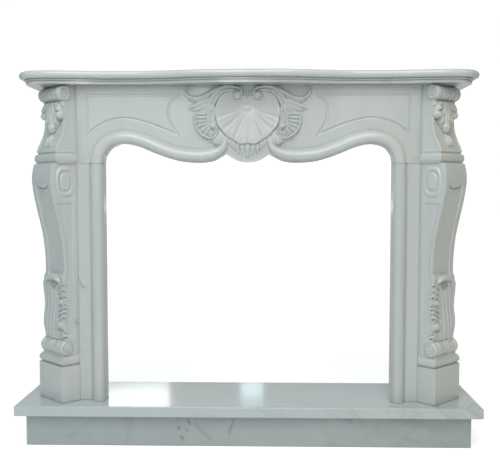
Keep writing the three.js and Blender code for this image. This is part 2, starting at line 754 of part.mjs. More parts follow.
function shelf() {
  const half = shelfLine();
  const line = [...half.slice(1).reverse().map(([x, y]) => [-x, y]), ...half];
  const normals = line.map(([x, y], i) => {
    const [x0, y0] = line[Math.max(i - 1, 0)];
    const [x1, y1] = line[Math.min(i + 1, line.length - 1)];
    const length = Math.hypot(x1 - x0, y1 - y0);
    return y > -1 ? [Math.sign(x), 0] : [(y1 - y0) / length, (x0 - x1) / length];
  });
  const groove = bandHeight + 2;
  const noseBottom = shelfThickness - 2 * bullnoseRadius;
  const profile = [
    [0, 0], [0, bandHeight], [-2.5, bandHeight + 0.8], [-2.5, groove], [5, groove + 0.8],
    [5, groove + filletHeight], [2, noseBottom - 0.4], [bullnoseReach - bullnoseRadius, noseBottom],
  ];
  const noseParts = 4;
  for (let i = 1; i <= noseParts; i++) {
    const angle = Math.PI * (i / noseParts - 0.5);
    profile.push([
      bullnoseReach - bullnoseRadius + bullnoseRadius * Math.cos(angle),
      noseBottom + bullnoseRadius * (1 + Math.sin(angle)),
    ]);
  }
  const bottom = hearthTop + jambHeight + friezeHeight;
  const rings = profile.map(([off, level]) =>
    line.map(([x, y], i) =>
      new THREE.Vector3(x + normals[i][0] * off, y + normals[i][1] * off, bottom + level),
    ),
  );
  return toSolid(loft(rings));
}

const mantel = new THREE.Group();
mantel.position.y = overallDepth / 2; // the frame's origin is under the middle of the whole
mantel.add(
  stone("hearth_slab", hearthSlab(), hearthMarble),
  stone("riser_front", riserFront(), hearthMarble),
  stone("frieze", frieze(), carvedMarble),
  stone("shelf", shelf(), shelfMarble),
);
for (const [word, side] of [["left", -1], ["right", 1]]) {
  mantel.add(
    stone("riser_" + word + "_end", riserEnd(), hearthMarble, side),
    stone(word + "_jamb", jamb(), carvedMarble, side),
    stone(word + "_plinth", plinth(), carvedMarble, side),
    stone(word + "_leg", leg(), carvedMarble, side),
    stone(word + "_capital", capital(), carvedMarble, side),
    stone(word + "_side_return", sideReturn(), carvedMarble, side),
  );
}
export default mantel;
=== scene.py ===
import math
import bpy
import numpy as np
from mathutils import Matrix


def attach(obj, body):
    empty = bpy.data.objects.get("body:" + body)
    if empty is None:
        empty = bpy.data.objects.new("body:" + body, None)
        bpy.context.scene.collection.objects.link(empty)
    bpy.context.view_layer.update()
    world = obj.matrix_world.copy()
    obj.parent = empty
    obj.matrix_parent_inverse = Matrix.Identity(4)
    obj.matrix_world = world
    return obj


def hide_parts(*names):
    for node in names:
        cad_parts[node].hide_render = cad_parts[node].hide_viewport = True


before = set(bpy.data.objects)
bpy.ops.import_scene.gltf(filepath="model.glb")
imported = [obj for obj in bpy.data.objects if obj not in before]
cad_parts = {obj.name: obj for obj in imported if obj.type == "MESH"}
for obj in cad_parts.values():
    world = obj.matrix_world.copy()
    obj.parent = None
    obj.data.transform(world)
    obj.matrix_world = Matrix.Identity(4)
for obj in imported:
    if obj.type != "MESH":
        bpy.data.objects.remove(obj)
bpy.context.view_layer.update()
print("frame loaded:", len(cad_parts), "stones")

mm = 0.001
wallFront = 182.5    # the wall plane behind the mantel, from the middle of its depth
faceDepth = 268      # from the wall to the face of the frame
frontLine = wallFront - faceDepth
hearthTop = 146
halfRoot = math.sqrt(0.5)


def gridQuads(columns, rows, start=0, closed=False):
    # quads between neighbouring columns of points; each column has the same number of rows
    turns = columns if closed else columns - 1
    c, r = np.meshgrid(np.arange(turns), np.arange(rows - 1), indexing="ij")
    a = c * rows + r
    b = ((c + 1) % columns) * rows + r
    return (np.stack([a, b, b + 1, a + 1], -1).reshape(-1, 4) + start).astype(np.int32)


def meshFrom(name, points, quads, others=()):
    mesh = bpy.data.meshes.new(name)
    loops = np.concatenate([quads.ravel()] + [np.asarray(o, np.int32) for o in others])
    counts = np.concatenate([np.full(len(quads), 4)] + [[len(o)] for o in others]).astype(np.int32)
    mesh.vertices.add(len(points))
    mesh.vertices.foreach_set("co", (np.asarray(points, float) * mm).astype(np.float32).ravel())
    mesh.loops.add(len(loops))
    mesh.loops.foreach_set("vertex_index", loops.astype(np.int32))
    mesh.polygons.add(len(counts))
    mesh.polygons.foreach_set("loop_start", np.concatenate(([0], np.cumsum(counts)[:-1])).astype(np.int32))
    mesh.update(calc_edges=True)
    mesh.validate()
    return mesh


def placeStone(name, mesh, material, node, shift, hollow=None, keep=1.0, crease=38):
    # one stone: its hollows for the painted shade and the dust in its joints, its own place in the block, thinned where
    # it is plain
    piece = bpy.data.objects.new(name, mesh)
    bpy.context.scene.collection.objects.link(piece)
    values = np.zeros(len(mesh.vertices)) if hollow is None else hollow
    mesh.attributes.new("hollow", "FLOAT", "POINT").data.foreach_set("value", values.astype(np.float32))
    if keep < 1:
        thinner = piece.modifiers.new("thinner", "DECIMATE")
        thinner.ratio = keep
        ready = bpy.data.meshes.new_from_object(piece.evaluated_get(bpy.context.evaluated_depsgraph_get()))
        piece.modifiers.clear()
        piece.data = ready
        ready.name = name
        mesh = ready
    spots = np.full(len(mesh.vertices), shift, np.float32)
    mesh.attributes.new("stoneShift", "FLOAT", "POINT").data.foreach_set("value", spots)
    mesh.polygons.foreach_set("use_smooth", np.ones(len(mesh.polygons), bool))
    mesh.set_sharp_from_angle(angle=math.radians(crease))
    evener = piece.modifiers.new("evener", "WEIGHTED_NORMAL")
    evener.keep_sharp = True
    mesh.materials.clear()
    mesh.materials.append(material)
    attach(piece, "root")
    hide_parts(node)
    return piece


# the carving tools work on a face as a field: a across, b upwards, h out of the stone
chisel = {"spare": 2.5, "trenchWidth": 1.8, "rim": 0.92, "pointsPerSpot": 7, "bendSteps": 14}


def smoothLine(points, count):
    # a curve through the points, in evenly spaced spots
    spots = np.array(points, float)
    if len(spots) > 2:
        padded = np.vstack([spots[:1], spots, spots[-1:]])
        t = np.linspace(0, 1, chisel["bendSteps"], endpoint=False)[:, None]
        parts = []
        for k in range(len(spots) - 1):
            p0, p1, p2, p3 = padded[k:k + 4]
            bend = (2 * p0 - 5 * p1 + 4 * p2 - p3) * t ** 2 + (-p0 + 3 * p1 - 3 * p2 + p3) * t ** 3
            parts.append(0.5 * (2 * p1 + (p2 - p0) * t + bend))
        spots = np.vstack(parts + [spots[-1:]])
    length = np.concatenate(([0], np.cumsum(np.hypot(*np.diff(spots, axis=0).T))))
    at = np.linspace(0, length[-1], count)
    return np.stack([np.interp(at, length, spots[:, i]) for i in range(2)], 1)


def fromLine(a, b, line):
    # how far each point is from the line, at which share of its length, and on which side
    steps = np.hypot(*np.diff(line, axis=0).T)
    starts = np.concatenate(([0], np.cumsum(steps)))
    away, share, side = np.full(a.shape, 1e9), np.zeros(a.shape), np.ones(a.shape)
    for k, step in enumerate(steps):
        if step <= 0:
            continue
        u, v = (line[k + 1] - line[k]) / step
        pa, pb = a - line[k, 0], b - line[k, 1]
        along = np.clip(pa * u + pb * v, 0, step)
        qa, qb = pa - along * u, pb - along * v
        d = np.hypot(qa, qb)
        nearer = d < away
        away = np.where(nearer, d, away)
        share = np.where(nearer, (starts[k] + along) / starts[-1], share)
        side = np.where(nearer, np.where(u * qb - v * qa >= 0, 1.0, -1.0), side)
    return away, share, side


def along(values, share):
    values = np.atleast_1d(np.array(values, float))
    if len(values) == 1:
        return np.full(np.shape(share), values[0])
    return np.interp(share, np.linspace(0, 1, len(values)), values)


def patch(field, lo, hi):
    return (field["a"] > lo[0]) & (field["a"] < hi[0]) & (field["b"] > lo[1]) & (field["b"] < hi[1])


def stroke(field, line, width, height, ends=(1, 1), taper=0.3, fullness=0.5, flutes=0, deep=0.25,
           base=0, outline=0.7):
    # a rounded strip, by its width and height along the line; flutes run along it
    line = smoothLine(line, max(4, chisel["pointsPerSpot"] * len(line)))
    reach = np.max(width) / 2 + chisel["spare"]
    pick = patch(field, line.min(0) - reach, line.max(0) + reach)
    if not pick.any():
        return
    away, share, side = fromLine(field["a"][pick], field["b"][pick], line)
    size = np.interp(share, [0, taper, 1 - taper, 1], [ends[0], 1, 1, ends[1]])
    half = along(width, share) / 2 * size
    tall = along(height, share) * size
    q = np.clip(away / half, 0, 1)
    form = tall * (1 - q ** 2) ** fullness
    if flutes:
        form -= tall * deep * (0.5 - 0.5 * np.cos(2 * math.pi * flutes * (q * side + 1) / 2)) * (1 - q ** 4)
    ground = field["h"][pick]
    trench = ground - outline * np.clip(1 - (away - half) / chisel["trenchWidth"], 0, 1)
    inside = np.maximum(ground - outline * (q > chisel["rim"]), base + form)
    field["h"][pick] = np.where(away < half, inside, trench)


def ball(field, a, b, wide, tall, height, turn=0, fullness=0.5, base=0, outline=0.7):
    # a dome with half sizes wide and tall, turned by degrees
    reach = max(wide, tall) + chisel["spare"]
    pick = patch(field, (a - reach, b - reach), (a + reach, b + reach))
    if not pick.any():
        return
    c, s = math.cos(math.radians(turn)), math.sin(math.radians(turn))
    u, v = field["a"][pick] - a, field["b"][pick] - b
    q = np.hypot((u * c + v * s) / wide, (v * c - u * s) / tall)
    ground = field["h"][pick]
    form = base + height * (1 - np.clip(q, 0, 1) ** 2) ** fullness
    trench = ground - outline * np.clip(1 - (q - 1) * min(wide, tall) / chisel["trenchWidth"], 0, 1)
    field["h"][pick] = np.where(q < 1, np.maximum(ground - outline * (q > chisel["rim"]), form), trench)


def pit(field, a, b, wide, tall, depth, turn=0, power=1.0):
    reach = max(wide, tall)
    pick = patch(field, (a - reach, b - reach), (a + reach, b + reach))
    if not pick.any():
        return
    c, s = math.cos(math.radians(turn)), math.sin(math.radians(turn))
    u, v = field["a"][pick] - a, field["b"][pick] - b
    q = np.clip(np.hypot((u * c + v * s) / wide, (v * c - u * s) / tall), 0, 1)
    field["h"][pick] -= depth * (1 - q ** 2) ** power


def groove(field, line, width, depth, ends=(1, 1), taper=0.2, sharp=1.0):
    line = smoothLine(line, chisel["pointsPerSpot"] * len(line)) if len(line) > 2 else np.array(line, float)
    reach = np.max(width) / 2 + 1
    pick = patch(field, line.min(0) - reach, line.max(0) + reach)
    if not pick.any():
        return
    away, share, _ = fromLine(field["a"][pick], field["b"][pick], line)
    size = np.interp(share, [0, taper, 1 - taper, 1], [ends[0], 1, 1, ends[1]])
    q = np.clip(away / (along(width, share) / 2 * size), 0, 1)
    field["h"][pick] -= depth * size * (1 - q ** 2) ** sharp


def smoothStep(value, low, high):
    t = np.clip((value - low) / (high - low), 0, 1)
    return t * t * (3 - 2 * t)


def softened(h, times=1):
    for _ in range(times):
        wide = np.pad(h, 1, mode="edge")
        h = (wide[:-2, 1:-1] + wide[2:, 1:-1] + wide[1:-1, :-2] + wide[1:-1, 2:] + 4 * h) / 8
    return h


def hollowsOf(h, near=3, far=10):
    # how far a spot lies below what is around it: narrow creases and wider hollows
    fine = np.clip((softened(h, near) - h) / 1.0, 0, 1)
    wide = np.clip((softened(h, far * 3) - h - 0.4) / 7.0, 0, 1)
    return np.clip(0.6 * fine + 0.5 * wide, 0, 1)


def newGroup(name, inputs, outputs):
    group = bpy.data.node_groups.new(name, "ShaderNodeTree")
    for label, kind, value in inputs:
        socket = group.interface.new_socket(label, in_out="INPUT", socket_type=kind)
        socket.default_value = value
    for label, kind in outputs:
        group.interface.new_socket(label, in_out="OUTPUT", socket_type=kind)
    return group, group.nodes.new("NodeGroupInput"), group.nodes.new("NodeGroupOutput")


def node(tree, kind, **settings):
    made = tree.nodes.new(kind)
    for key, value in settings.items():
        setattr(made, key, value)
    return made


def math2(tree, operation, first, second=None, third=None, clamp=False):
    made = node(tree, "ShaderNodeMath", operation=operation, use_clamp=clamp)
    for i, value in enumerate((first, second, third)):
        if value is None:
            continue
        if isinstance(value, (int, float)):
            made.inputs[i].default_value = value
        else:
            tree.links.new(value, made.inputs[i])
    return made.outputs[0]


def blockPlace(tree):
    # where a spot lies in the block that its stone was sawn from
    place = node(tree, "ShaderNodeTexCoord")
    shift = node(tree, "ShaderNodeAttribute", attribute_name="stoneShift")
    move = node(tree, "ShaderNodeCombineXYZ")
    tree.links.new(shift.outputs["Fac"], move.inputs[0])
    tree.links.new(math2(tree, "MULTIPLY", shift.outputs["Fac"], 0.7), move.inputs[1])
    tree.links.new(math2(tree, "MULTIPLY", shift.outputs["Fac"], 0.4), move.inputs[2])
    total = node(tree, "ShaderNodeVectorMath", operation="ADD")
    tree.links.new(place.outputs["Object"], total.inputs[0])
    tree.links.new(move.outputs[0], total.inputs[1])
    return total.outputs[0]


def noise(tree, where, scale, detail=4, rough=0.55, warp=0.0):
    made = node(tree, "ShaderNodeTexNoise")
    if where is not None:
        tree.links.new(where, made.inputs["Vector"])
    if isinstance(scale, (int, float)):
        made.inputs["Scale"].default_value = scale
    else:
        tree.links.new(scale, made.inputs["Scale"])
    made.inputs["Detail"].default_value = detail
    made.inputs["Roughness"].default_value = rough
    made.inputs["Distortion"].default_value = warp
    return made


def mixColor(tree, share, first, second):
    made = node(tree, "ShaderNodeMix", data_type="RGBA")
    for value, socket in ((share, made.inputs[0]), (first, made.inputs[6]), (second, made.inputs[7])):
        if isinstance(value, (int, float, tuple)):
            socket.default_value = value
        else:
            tree.links.new(value, socket)
    return made.outputs[2]


def makeCloudGroup():
    # broad clouds, small patches and the sparkle of the grain, as one colour
    group, given, result = newGroup("stoneClouds", [
        ("Cloud size", "NodeSocketFloat", 3.0), ("Clouding", "NodeSocketFloat", 0.5),
        ("Light stone", "NodeSocketColor", (0.8, 0.8, 0.8, 1)), ("Dark stone", "NodeSocketColor", (0.6, 0.6, 0.6, 1)),
        ("Grain", "NodeSocketFloat", 0.05), ("Bedding", "NodeSocketVector", (1.0, 1.0, 1.0))],
        [("Color", "NodeSocketColor"), ("Clouds", "NodeSocketFloat")])
    beds = node(group, "ShaderNodeVectorMath", operation="MULTIPLY")
    group.links.new(blockPlace(group), beds.inputs[0])
    group.links.new(given.outputs["Bedding"], beds.inputs[1])
    where = beds.outputs[0]
    broad = noise(group, where, given.outputs["Cloud size"], 5, 0.6, 0.6)
    small = noise(group, where, math2(group, "MULTIPLY", given.outputs["Cloud size"], 6.5), 4, 0.6)
    sparkle = noise(group, where, 900, 2, 0.6)
    both = math2(group, "ADD", math2(group, "MULTIPLY", broad.outputs["Fac"], 0.68),
                 math2(group, "MULTIPLY", small.outputs["Fac"], 0.32))
    sharper = math2(group, "MULTIPLY_ADD", both, 2.6, -0.8, clamp=True)
    clouds = math2(group, "MULTIPLY", sharper, given.outputs["Clouding"])
    stone = mixColor(group, clouds, given.outputs["Light stone"], given.outputs["Dark stone"])
    glint = math2(group, "MULTIPLY", math2(group, "SUBTRACT", sparkle.outputs["Fac"], 0.5), given.outputs["Grain"])
    bright = node(group, "ShaderNodeHueSaturation")
    group.links.new(math2(group, "ADD", glint, 1.0), bright.inputs["Value"])
    group.links.new(stone, bright.inputs["Color"])
    group.links.new(bright.outputs[0], result.inputs["Color"])
    group.links.new(clouds, result.inputs["Clouds"])
    return group


def makeVeinGroup():
    # thin grey veins that wander and fade, along one slanting direction
    group, given, result = newGroup("greyVeins", [
        ("Vein size", "NodeSocketFloat", 2.0), ("Thinness", "NodeSocketFloat", 14.0),
        ("Slant", "NodeSocketVector", (0.0, 0.6, 0.0)), ("Amount", "NodeSocketFloat", 0.5)],
        [("Mask", "NodeSocketFloat")])
    where = blockPlace(group)
    turn = node(group, "ShaderNodeVectorRotate", rotation_type="EULER_XYZ")
    group.links.new(where, turn.inputs["Vector"])
    group.links.new(given.outputs["Slant"], turn.inputs["Rotation"])
    stretch = node(group, "ShaderNodeMapping")
    stretch.inputs["Scale"].default_value = (1.0, 1.0, 0.28)
    group.links.new(turn.outputs[0], stretch.inputs["Vector"])
    masks = []
    for size, wander in ((1.0, 1.4), (2.3, 0.9)):
        run = noise(group, stretch.outputs[0], math2(group, "MULTIPLY", given.outputs["Vein size"], size), 4, 0.6, wander)
        ridge = math2(group, "ABSOLUTE", math2(group, "SUBTRACT", run.outputs["Fac"], 0.5))
        thin = math2(group, "SUBTRACT", 1.0, math2(group, "MULTIPLY", ridge, given.outputs["Thinness"]), clamp=True)
        masks.append(math2(group, "POWER", thin, 2.2))
    fade = noise(group, where, 2.1, 2)
    faded = math2(group, "MULTIPLY_ADD", fade.outputs["Fac"], 4.0, -1.75, clamp=True)
    both = math2(group, "MAXIMUM", masks[0], math2(group, "MULTIPLY", masks[1], 0.5))
    group.links.new(math2(group, "MULTIPLY", math2(group, "MULTIPLY", both, faded), given.outputs["Amount"]),
                    result.inputs["Mask"])
    return group


def makeCreviceGroup():
    # painted shade in the hollows of the carving, with dust in the joints, uneven
    group, given, result = newGroup("shadeAndDustInHollows", [("Amount", "NodeSocketFloat", 0.6)],
                                    [("Mask", "NodeSocketFloat")])
    depth = node(group, "ShaderNodeAttribute", attribute_name="hollow")
    uneven = noise(group, blockPlace(group), 60, 3)
    varied = math2(group, "MULTIPLY_ADD", uneven.outputs["Fac"], 0.7, 0.6)
    group.links.new(math2(group, "MULTIPLY", math2(group, "MULTIPLY", depth.outputs["Fac"], varied, clamp=True),
                          given.outputs["Amount"]), result.inputs["Mask"])
    return group


def makePolishGroup():
    # roughness of the polish, duller in the hollows, and the faint waves of hand finishing
    group, given, result = newGroup("polish", [
        ("Polished", "NodeSocketFloat", 0.2), ("Dull", "NodeSocketFloat", 0.45), ("Wave", "NodeSocketFloat", 0.3)],
        [("Roughness", "NodeSocketFloat"), ("Height", "NodeSocketFloat")])
    where = blockPlace(group)
    smear = noise(group, where, 14, 4, 0.6)
    depth = node(group, "ShaderNodeAttribute", attribute_name="hollow")
    dull = math2(group, "ADD", math2(group, "MULTIPLY", smear.outputs["Fac"], 0.35), depth.outputs["Fac"], clamp=True)
    span = math2(group, "SUBTRACT", given.outputs["Dull"], given.outputs["Polished"])
    group.links.new(math2(group, "MULTIPLY_ADD", dull, span, given.outputs["Polished"]), result.inputs["Roughness"])
    wave = noise(group, where, 42, 3, 0.5)
    pore = noise(group, where, 420, 2, 0.5)
    both = math2(group, "ADD", math2(group, "MULTIPLY", wave.outputs["Fac"], given.outputs["Wave"]),
                 math2(group, "MULTIPLY", pore.outputs["Fac"], 0.06))
    group.links.new(both, result.inputs["Height"])
    return group


def makeMarkGroup():
    # one dark vein or speck between two spots, frayed and broken
    group, given, result = newGroup("veinMark", [
        ("From", "NodeSocketVector", (0, 0, 0)), ("To", "NodeSocketVector", (0, 0, 0.1)),
        ("Width", "NodeSocketFloat", 0.004), ("Amount", "NodeSocketFloat", 0.6)], [("Mask", "NodeSocketFloat")])

    def vectors(operation, first, second, out=0):
        made = node(group, "ShaderNodeVectorMath", operation=operation)
        for i, value in enumerate((first, second)):
            if value is not None:
                group.links.new(value, made.inputs[i])
        return made.outputs[out]

    place = node(group, "ShaderNodeTexCoord").outputs["Object"]
    fray = node(group, "ShaderNodeVectorMath", operation="MULTIPLY_ADD")
    group.links.new(noise(group, place, 55, 3, 0.6).outputs["Color"], fray.inputs[0])
    fray.inputs[1].default_value = (0.012, 0.0, 0.012)
    fray.inputs[2].default_value = (-0.006, 0.0, -0.006)
    spot = vectors("ADD", place, fray.outputs[0])
    span = vectors("SUBTRACT", given.outputs["To"], given.outputs["From"])
    fromStart = vectors("SUBTRACT", spot, given.outputs["From"])
    share = math2(group, "DIVIDE", vectors("DOT_PRODUCT", fromStart, span, 1), vectors("DOT_PRODUCT", span, span, 1),
                  clamp=True)
    nearest = node(group, "ShaderNodeVectorMath", operation="SCALE")
    group.links.new(span, nearest.inputs[0])
    group.links.new(share, nearest.inputs["Scale"])
    away = vectors("LENGTH", vectors("SUBTRACT", fromStart, nearest.outputs[0]), None, 1)
    line = math2(group, "SUBTRACT", 1.0, math2(group, "DIVIDE", away, given.outputs["Width"]), clamp=True)
    broken = math2(group, "MULTIPLY_ADD", noise(group, place, 60, 3, 0.7).outputs["Fac"], 3.0, -1.0, clamp=True)
    group.links.new(math2(group, "MULTIPLY", math2(group, "MULTIPLY", line, broken), given.outputs["Amount"]),
                    result.inputs["Mask"])
    return group


sharedEffects = {"clouds": makeCloudGroup(), "veins": makeVeinGroup(), "shadeAndDust": makeCreviceGroup(),
                 "polish": makePolishGroup(), "mark": makeMarkGroup()}


def makeMarble(name, look):
    material = bpy.data.materials.new(name)
    material.use_nodes = True
    tree = material.node_tree
    shader = tree.nodes["Principled BSDF"]

    def effect(key, **values):
        made = node(tree, "ShaderNodeGroup", node_tree=sharedEffects[key])
        for label, value in values.items():
            made.inputs[label.replace("_", " ")].default_value = value
        return made

    clouds = effect("clouds", Cloud_size=look["cloudSize"], Clouding=look["clouding"], Grain=look["grain"],
                    Light_stone=look["lightStone"], Dark_stone=look["darkStone"], Bedding=look["bedding"])
    veins = effect("veins", Vein_size=look["veinSize"], Thinness=look["thinness"], Slant=look["slant"],
                   Amount=look["veining"])
    shadeAndDust = effect("shadeAndDust", Amount=look["shadeAndDust"])
    polish = effect("polish", Polished=look["polished"], Dull=look["dull"], Wave=look["wave"])
    veined = mixColor(tree, veins.outputs["Mask"], clouds.outputs["Color"], look["veinColor"])
    for start, end, width, strength in look["marks"]:
        mark = effect("mark", From=start, To=end, Width=width, Amount=strength)
        veined = mixColor(tree, mark.outputs["Mask"], veined, look["markColor"])
    # the carving's hollows take this grey as painted shade; the joints take it as dust
    withShadeAndDust = mixColor(tree, shadeAndDust.outputs["Mask"], veined, look["shadeAndDustColor"])
    tree.links.new(withShadeAndDust, shader.inputs["Base Color"])
    tree.links.new(polish.outputs["Roughness"], shader.inputs["Roughness"])
    bump = node(tree, "ShaderNodeBump")
    bump.inputs["Strength"].default_value = look["bump"]
    bump.inputs["Distance"].default_value = 0.0006
    tree.links.new(polish.outputs["Height"], bump.inputs["Height"])
    tree.links.new(bump.outputs[0], shader.inputs["Normal"])
    shader.inputs["IOR"].default_value = 1.5
    shader.inputs["Coat Weight"].default_value = look["coat"]
    shader.inputs["Coat Roughness"].default_value = 0.12
    return material


def tone(red, green, blue):
    # a colour as it is seen on a screen, for the shader
    def line(v):
        v /= 255
        return v / 12.92 if v <= 0.04045 else ((v + 0.055) / 1.055) ** 2.4
    return (line(red), line(green), line(blue), 1)


carvedLook = {
    "lightStone": tone(206, 211, 208), "darkStone": tone(194, 200, 198), "cloudSize": 2.2, "clouding": 0.75,
    "bedding": (1.7, 1.2, 0.32), "grain": 0.10, "veinSize": 1.3, "thinness": 30.0, "slant": (0.25, 0.12, 0.2),
    # the grey that darkens the carving's hollows is painted shade; in the joints it is dust
    "veining": 0.22, "veinColor": tone(158, 165, 164), "shadeAndDust": 0.38, "shadeAndDustColor": tone(112, 118, 113),
    "polished": 0.18, "dull": 0.5, "wave": 0.35, "bump": 0.3, "coat": 0.35, "markColor": tone(104, 113, 112),
    "marks": [       # from, to, width, strength: a short vein on the left jamb and a stain on the left leg
        ((-0.592, -0.0855, 0.582), (-0.577, -0.0855, 0.548), 0.0065, 0.6),
        ((-0.577, -0.0855, 0.548), (-0.566, -0.0855, 0.543), 0.006, 0.5),
        ((-0.603, -0.081, 0.424), (-0.603, -0.081, 0.416), 0.016, 0.6),
    ],
}
# the jambs take a darker copy of the carved marble: painted shade, for the light that falls off lower down
shadedJambLook = dict(carvedLook, lightStone=tone(202, 208, 206), darkStone=tone(189, 196, 195))
shelfLook = dict(carvedLook, lightStone=tone(208, 213, 212), darkStone=tone(196, 202, 201), bedding=(0.4, 1.0, 1.0),
                 veining=0.34, polished=0.17, dull=0.35, wave=0.2, marks=[])
hearthLook = dict(carvedLook, lightStone=tone(196, 206, 206), darkStone=tone(182, 193, 194), clouding=0.6,
                  bedding=(0.6, 1.0, 1.0), veinSize=1.8, thinness=22.0, slant=(0.2, 0.9, 0.3), veining=0.35,
                  veinColor=tone(140, 150, 152), shadeAndDust=0.3, polished=0.14, dull=0.26, wave=0.9, bump=0.7, coat=0.6, marks=[])
riserFront = -0.1345
# the riser is a darker, more veined stone, and its tone is also lowered as painted shade for the shadow under the
# slab's overhang
riserStoneAndShadeLook = dict(hearthLook, lightStone=tone(178, 188, 187), darkStone=tone(160, 171, 171), clouding=0.9, veining=0.42,
                 veinColor=tone(118, 127, 128), polished=0.12, dull=0.25, markColor=tone(86, 98, 99))
riserStoneAndShadeLook["marks"] = [((x0, riserFront, z0), (x1, riserFront, z1), width, strength) for x0, z0, x1, z1, width, strength in (
    (-0.179, 0.077, -0.128, 0.023, 0.013, 0.4), (-0.046, 0.107, -0.060, 0.050, 0.009, 0.6),
    (-0.060, 0.050, -0.065, 0.023, 0.008, 0.35), (0.40, 0.016, 0.46, 0.094, 0.012, 0.16),
    (0.52, 0.010, 0.60, 0.100, 0.014, 0.16), (-0.62, 0.030, -0.52, 0.100, 0.014, 0.18))]
for x, z, size in ((-0.206, 0.091, 0.009), (-0.200, 0.083, 0.008), (-0.211, 0.058, 0.009), (-0.229, 0.033, 0.008),
                   (-0.225, 0.025, 0.008), (-0.242, 0.103, 0.007), (-0.239, 0.067, 0.007)):      # dark specks
    riserStoneAndShadeLook["marks"].append(((x, riserFront, z), (x + 0.003, riserFront, z - 0.004), size, 1.0))
carvedMarble = makeMarble("carvedMarble", carvedLook)
shadedJambMarble = makeMarble("shadedJambMarble", shadedJambLook)
shelfMarble = makeMarble("shelfMarble", shelfLook)
hearthMarble = makeMarble("hearthMarble", hearthLook)
riserStoneAndShadeMarble = makeMarble("riserStoneAndShadeMarble", riserStoneAndShadeLook)
print("marble mixed")


# frieze: one slab, its lower edge arched, all its carving in one relief, placed in hundredths of the slab's height
friezeCut = {
    "halfLength": 589.7, "halfOpening": 499.0, "height": 266.7, "percent": 2.67, "thickness": 47.0,
    "bottom": hearthTop + 830.0, "cell": 1.15, "rollWidth": 42.0, "rollHeight": 20.0, "quirkDepth": 1.8,
    "panelWidth": 9.0, "panelDepth": 4.0, "panelMargin": 36.0, "keep": 0.39, "arris": 0.7, "jointDust": 0.8,
    "tongueWidth": 1.1, "tongueHeight": 0.8, "bladeWidth": 1.25, "bladeHeight": 0.85, "scrollHeight": 0.85,
}


def percent(points):
    return [(a * friezeCut["percent"], b * friezeCut["percent"]) for a, b in points]


def archEdge():
    # lower edge from the middle of the pendant to the jamb
    one, half = friezeCut["percent"], friezeCut["halfOpening"]
    crown, lobe = half - 28 * one, 63 * one
    pendant = smoothLine(percent([(0, 1.5), (10, 2.8), (19.5, 6.8), (27.5, 12)]), 60)
    between = [(lobe + (crown - lobe) * s, 25 * one * lift) for s, lift in ((0.28, 0.14), (0.55, 0.46), (0.79, 0.84))]
    arch = [(27.5 * one, 12 * one), (43 * one, 3.8 * one), (lobe, one), *between, (crown, 25 * one),
            (half - 11 * one, 21 * one), (half - 2.2 * one, 10.5 * one), (half, 0)]
    return np.vstack([pendant[:-1], smoothLine(arch, 500)]), arch


def friezeGrid():
    edge, arch = archEdge()
    cell = friezeCut["cell"]
    steps = np.maximum(np.abs(np.diff(edge[:, 0])) / cell, np.abs(np.diff(edge[:, 1])) / (cell * 1.6))
    count = np.concatenate(([0], np.cumsum(steps)))
    at = np.linspace(0, count[-1], int(count[-1]) + 1)
    across = np.interp(at, count, edge[:, 0])
    foot = np.interp(at, count, edge[:, 1])
    beyond = np.arange(friezeCut["halfOpening"] + 0.4, friezeCut["halfLength"], cell)
    beyond = np.concatenate([beyond, [friezeCut["halfLength"] - 0.5, friezeCut["halfLength"]]])
    across = np.concatenate([across, beyond])
    foot = np.concatenate([foot, np.zeros(len(beyond))])
    rows = int(friezeCut["height"] / cell)
    share = np.concatenate(([0, 0.0018, 0.005], np.linspace(0.009, 0.9975, rows), [1.0]))
    b = foot[:, None] + (friezeCut["height"] - foot[:, None]) * share[None, :]
    return {"a": np.repeat(across[:, None], len(share), 1), "b": b, "h": np.zeros(b.shape)}, arch


def carveRoll(field, arch):
    # the rolled moulding over the arch, wrapped into a scroll beside the pendant
    half, lift = friezeCut["halfOpening"], friezeCut["rollWidth"] / 2 + 1
    spine = smoothLine(arch[2:], 60)
    run = np.gradient(spine, axis=0)
    run /= np.hypot(run[:, 0], run[:, 1])[:, None]
    centre = spine + lift * np.stack([-run[:, 1], run[:, 0]], 1)
    centre = centre[centre[:, 0] < half + lift - 0.4]
    scroll = percent([(35.5, 37.0), (31.2, 33.5), (29.4, 28.0), (31.0, 21.5), (36.0, 16.4), (44.0, 12.6), (52.0, 10.4)])
    line = np.vstack([smoothLine(scroll + [tuple(centre[0])], 40)[:-1], centre, [(half + lift, 0)], [(half + lift, -30)]])
    pick = patch(field, (60, -1), (half + 2 * lift, 150))
    a, b = field["a"][pick], field["b"][pick]
    away, share, side = fromLine(a, b, line)
    width = np.interp(share, [0, 0.03, 0.10, 0.17, 1], [4, 9, 15, 20.5, 21])
    tall = friezeCut["rollHeight"] * np.interp(share, [0, 0.03, 0.10, 0.17, 1], [0.45, 0.75, 0.95, 1, 1])
    q = np.clip(away / width, 0, 1)
    form = tall * np.sqrt(1 - q ** 2)
    ground = field["h"][pick]
    # a narrow quirk above the roll
    quirk = np.where(side > 0, friezeCut["quirkDepth"] * np.clip(1 - np.abs(away - width - 3.4) / 4.4, 0, 1), 0)
    field["h"][pick] = np.where(away < width, form, ground - quirk)


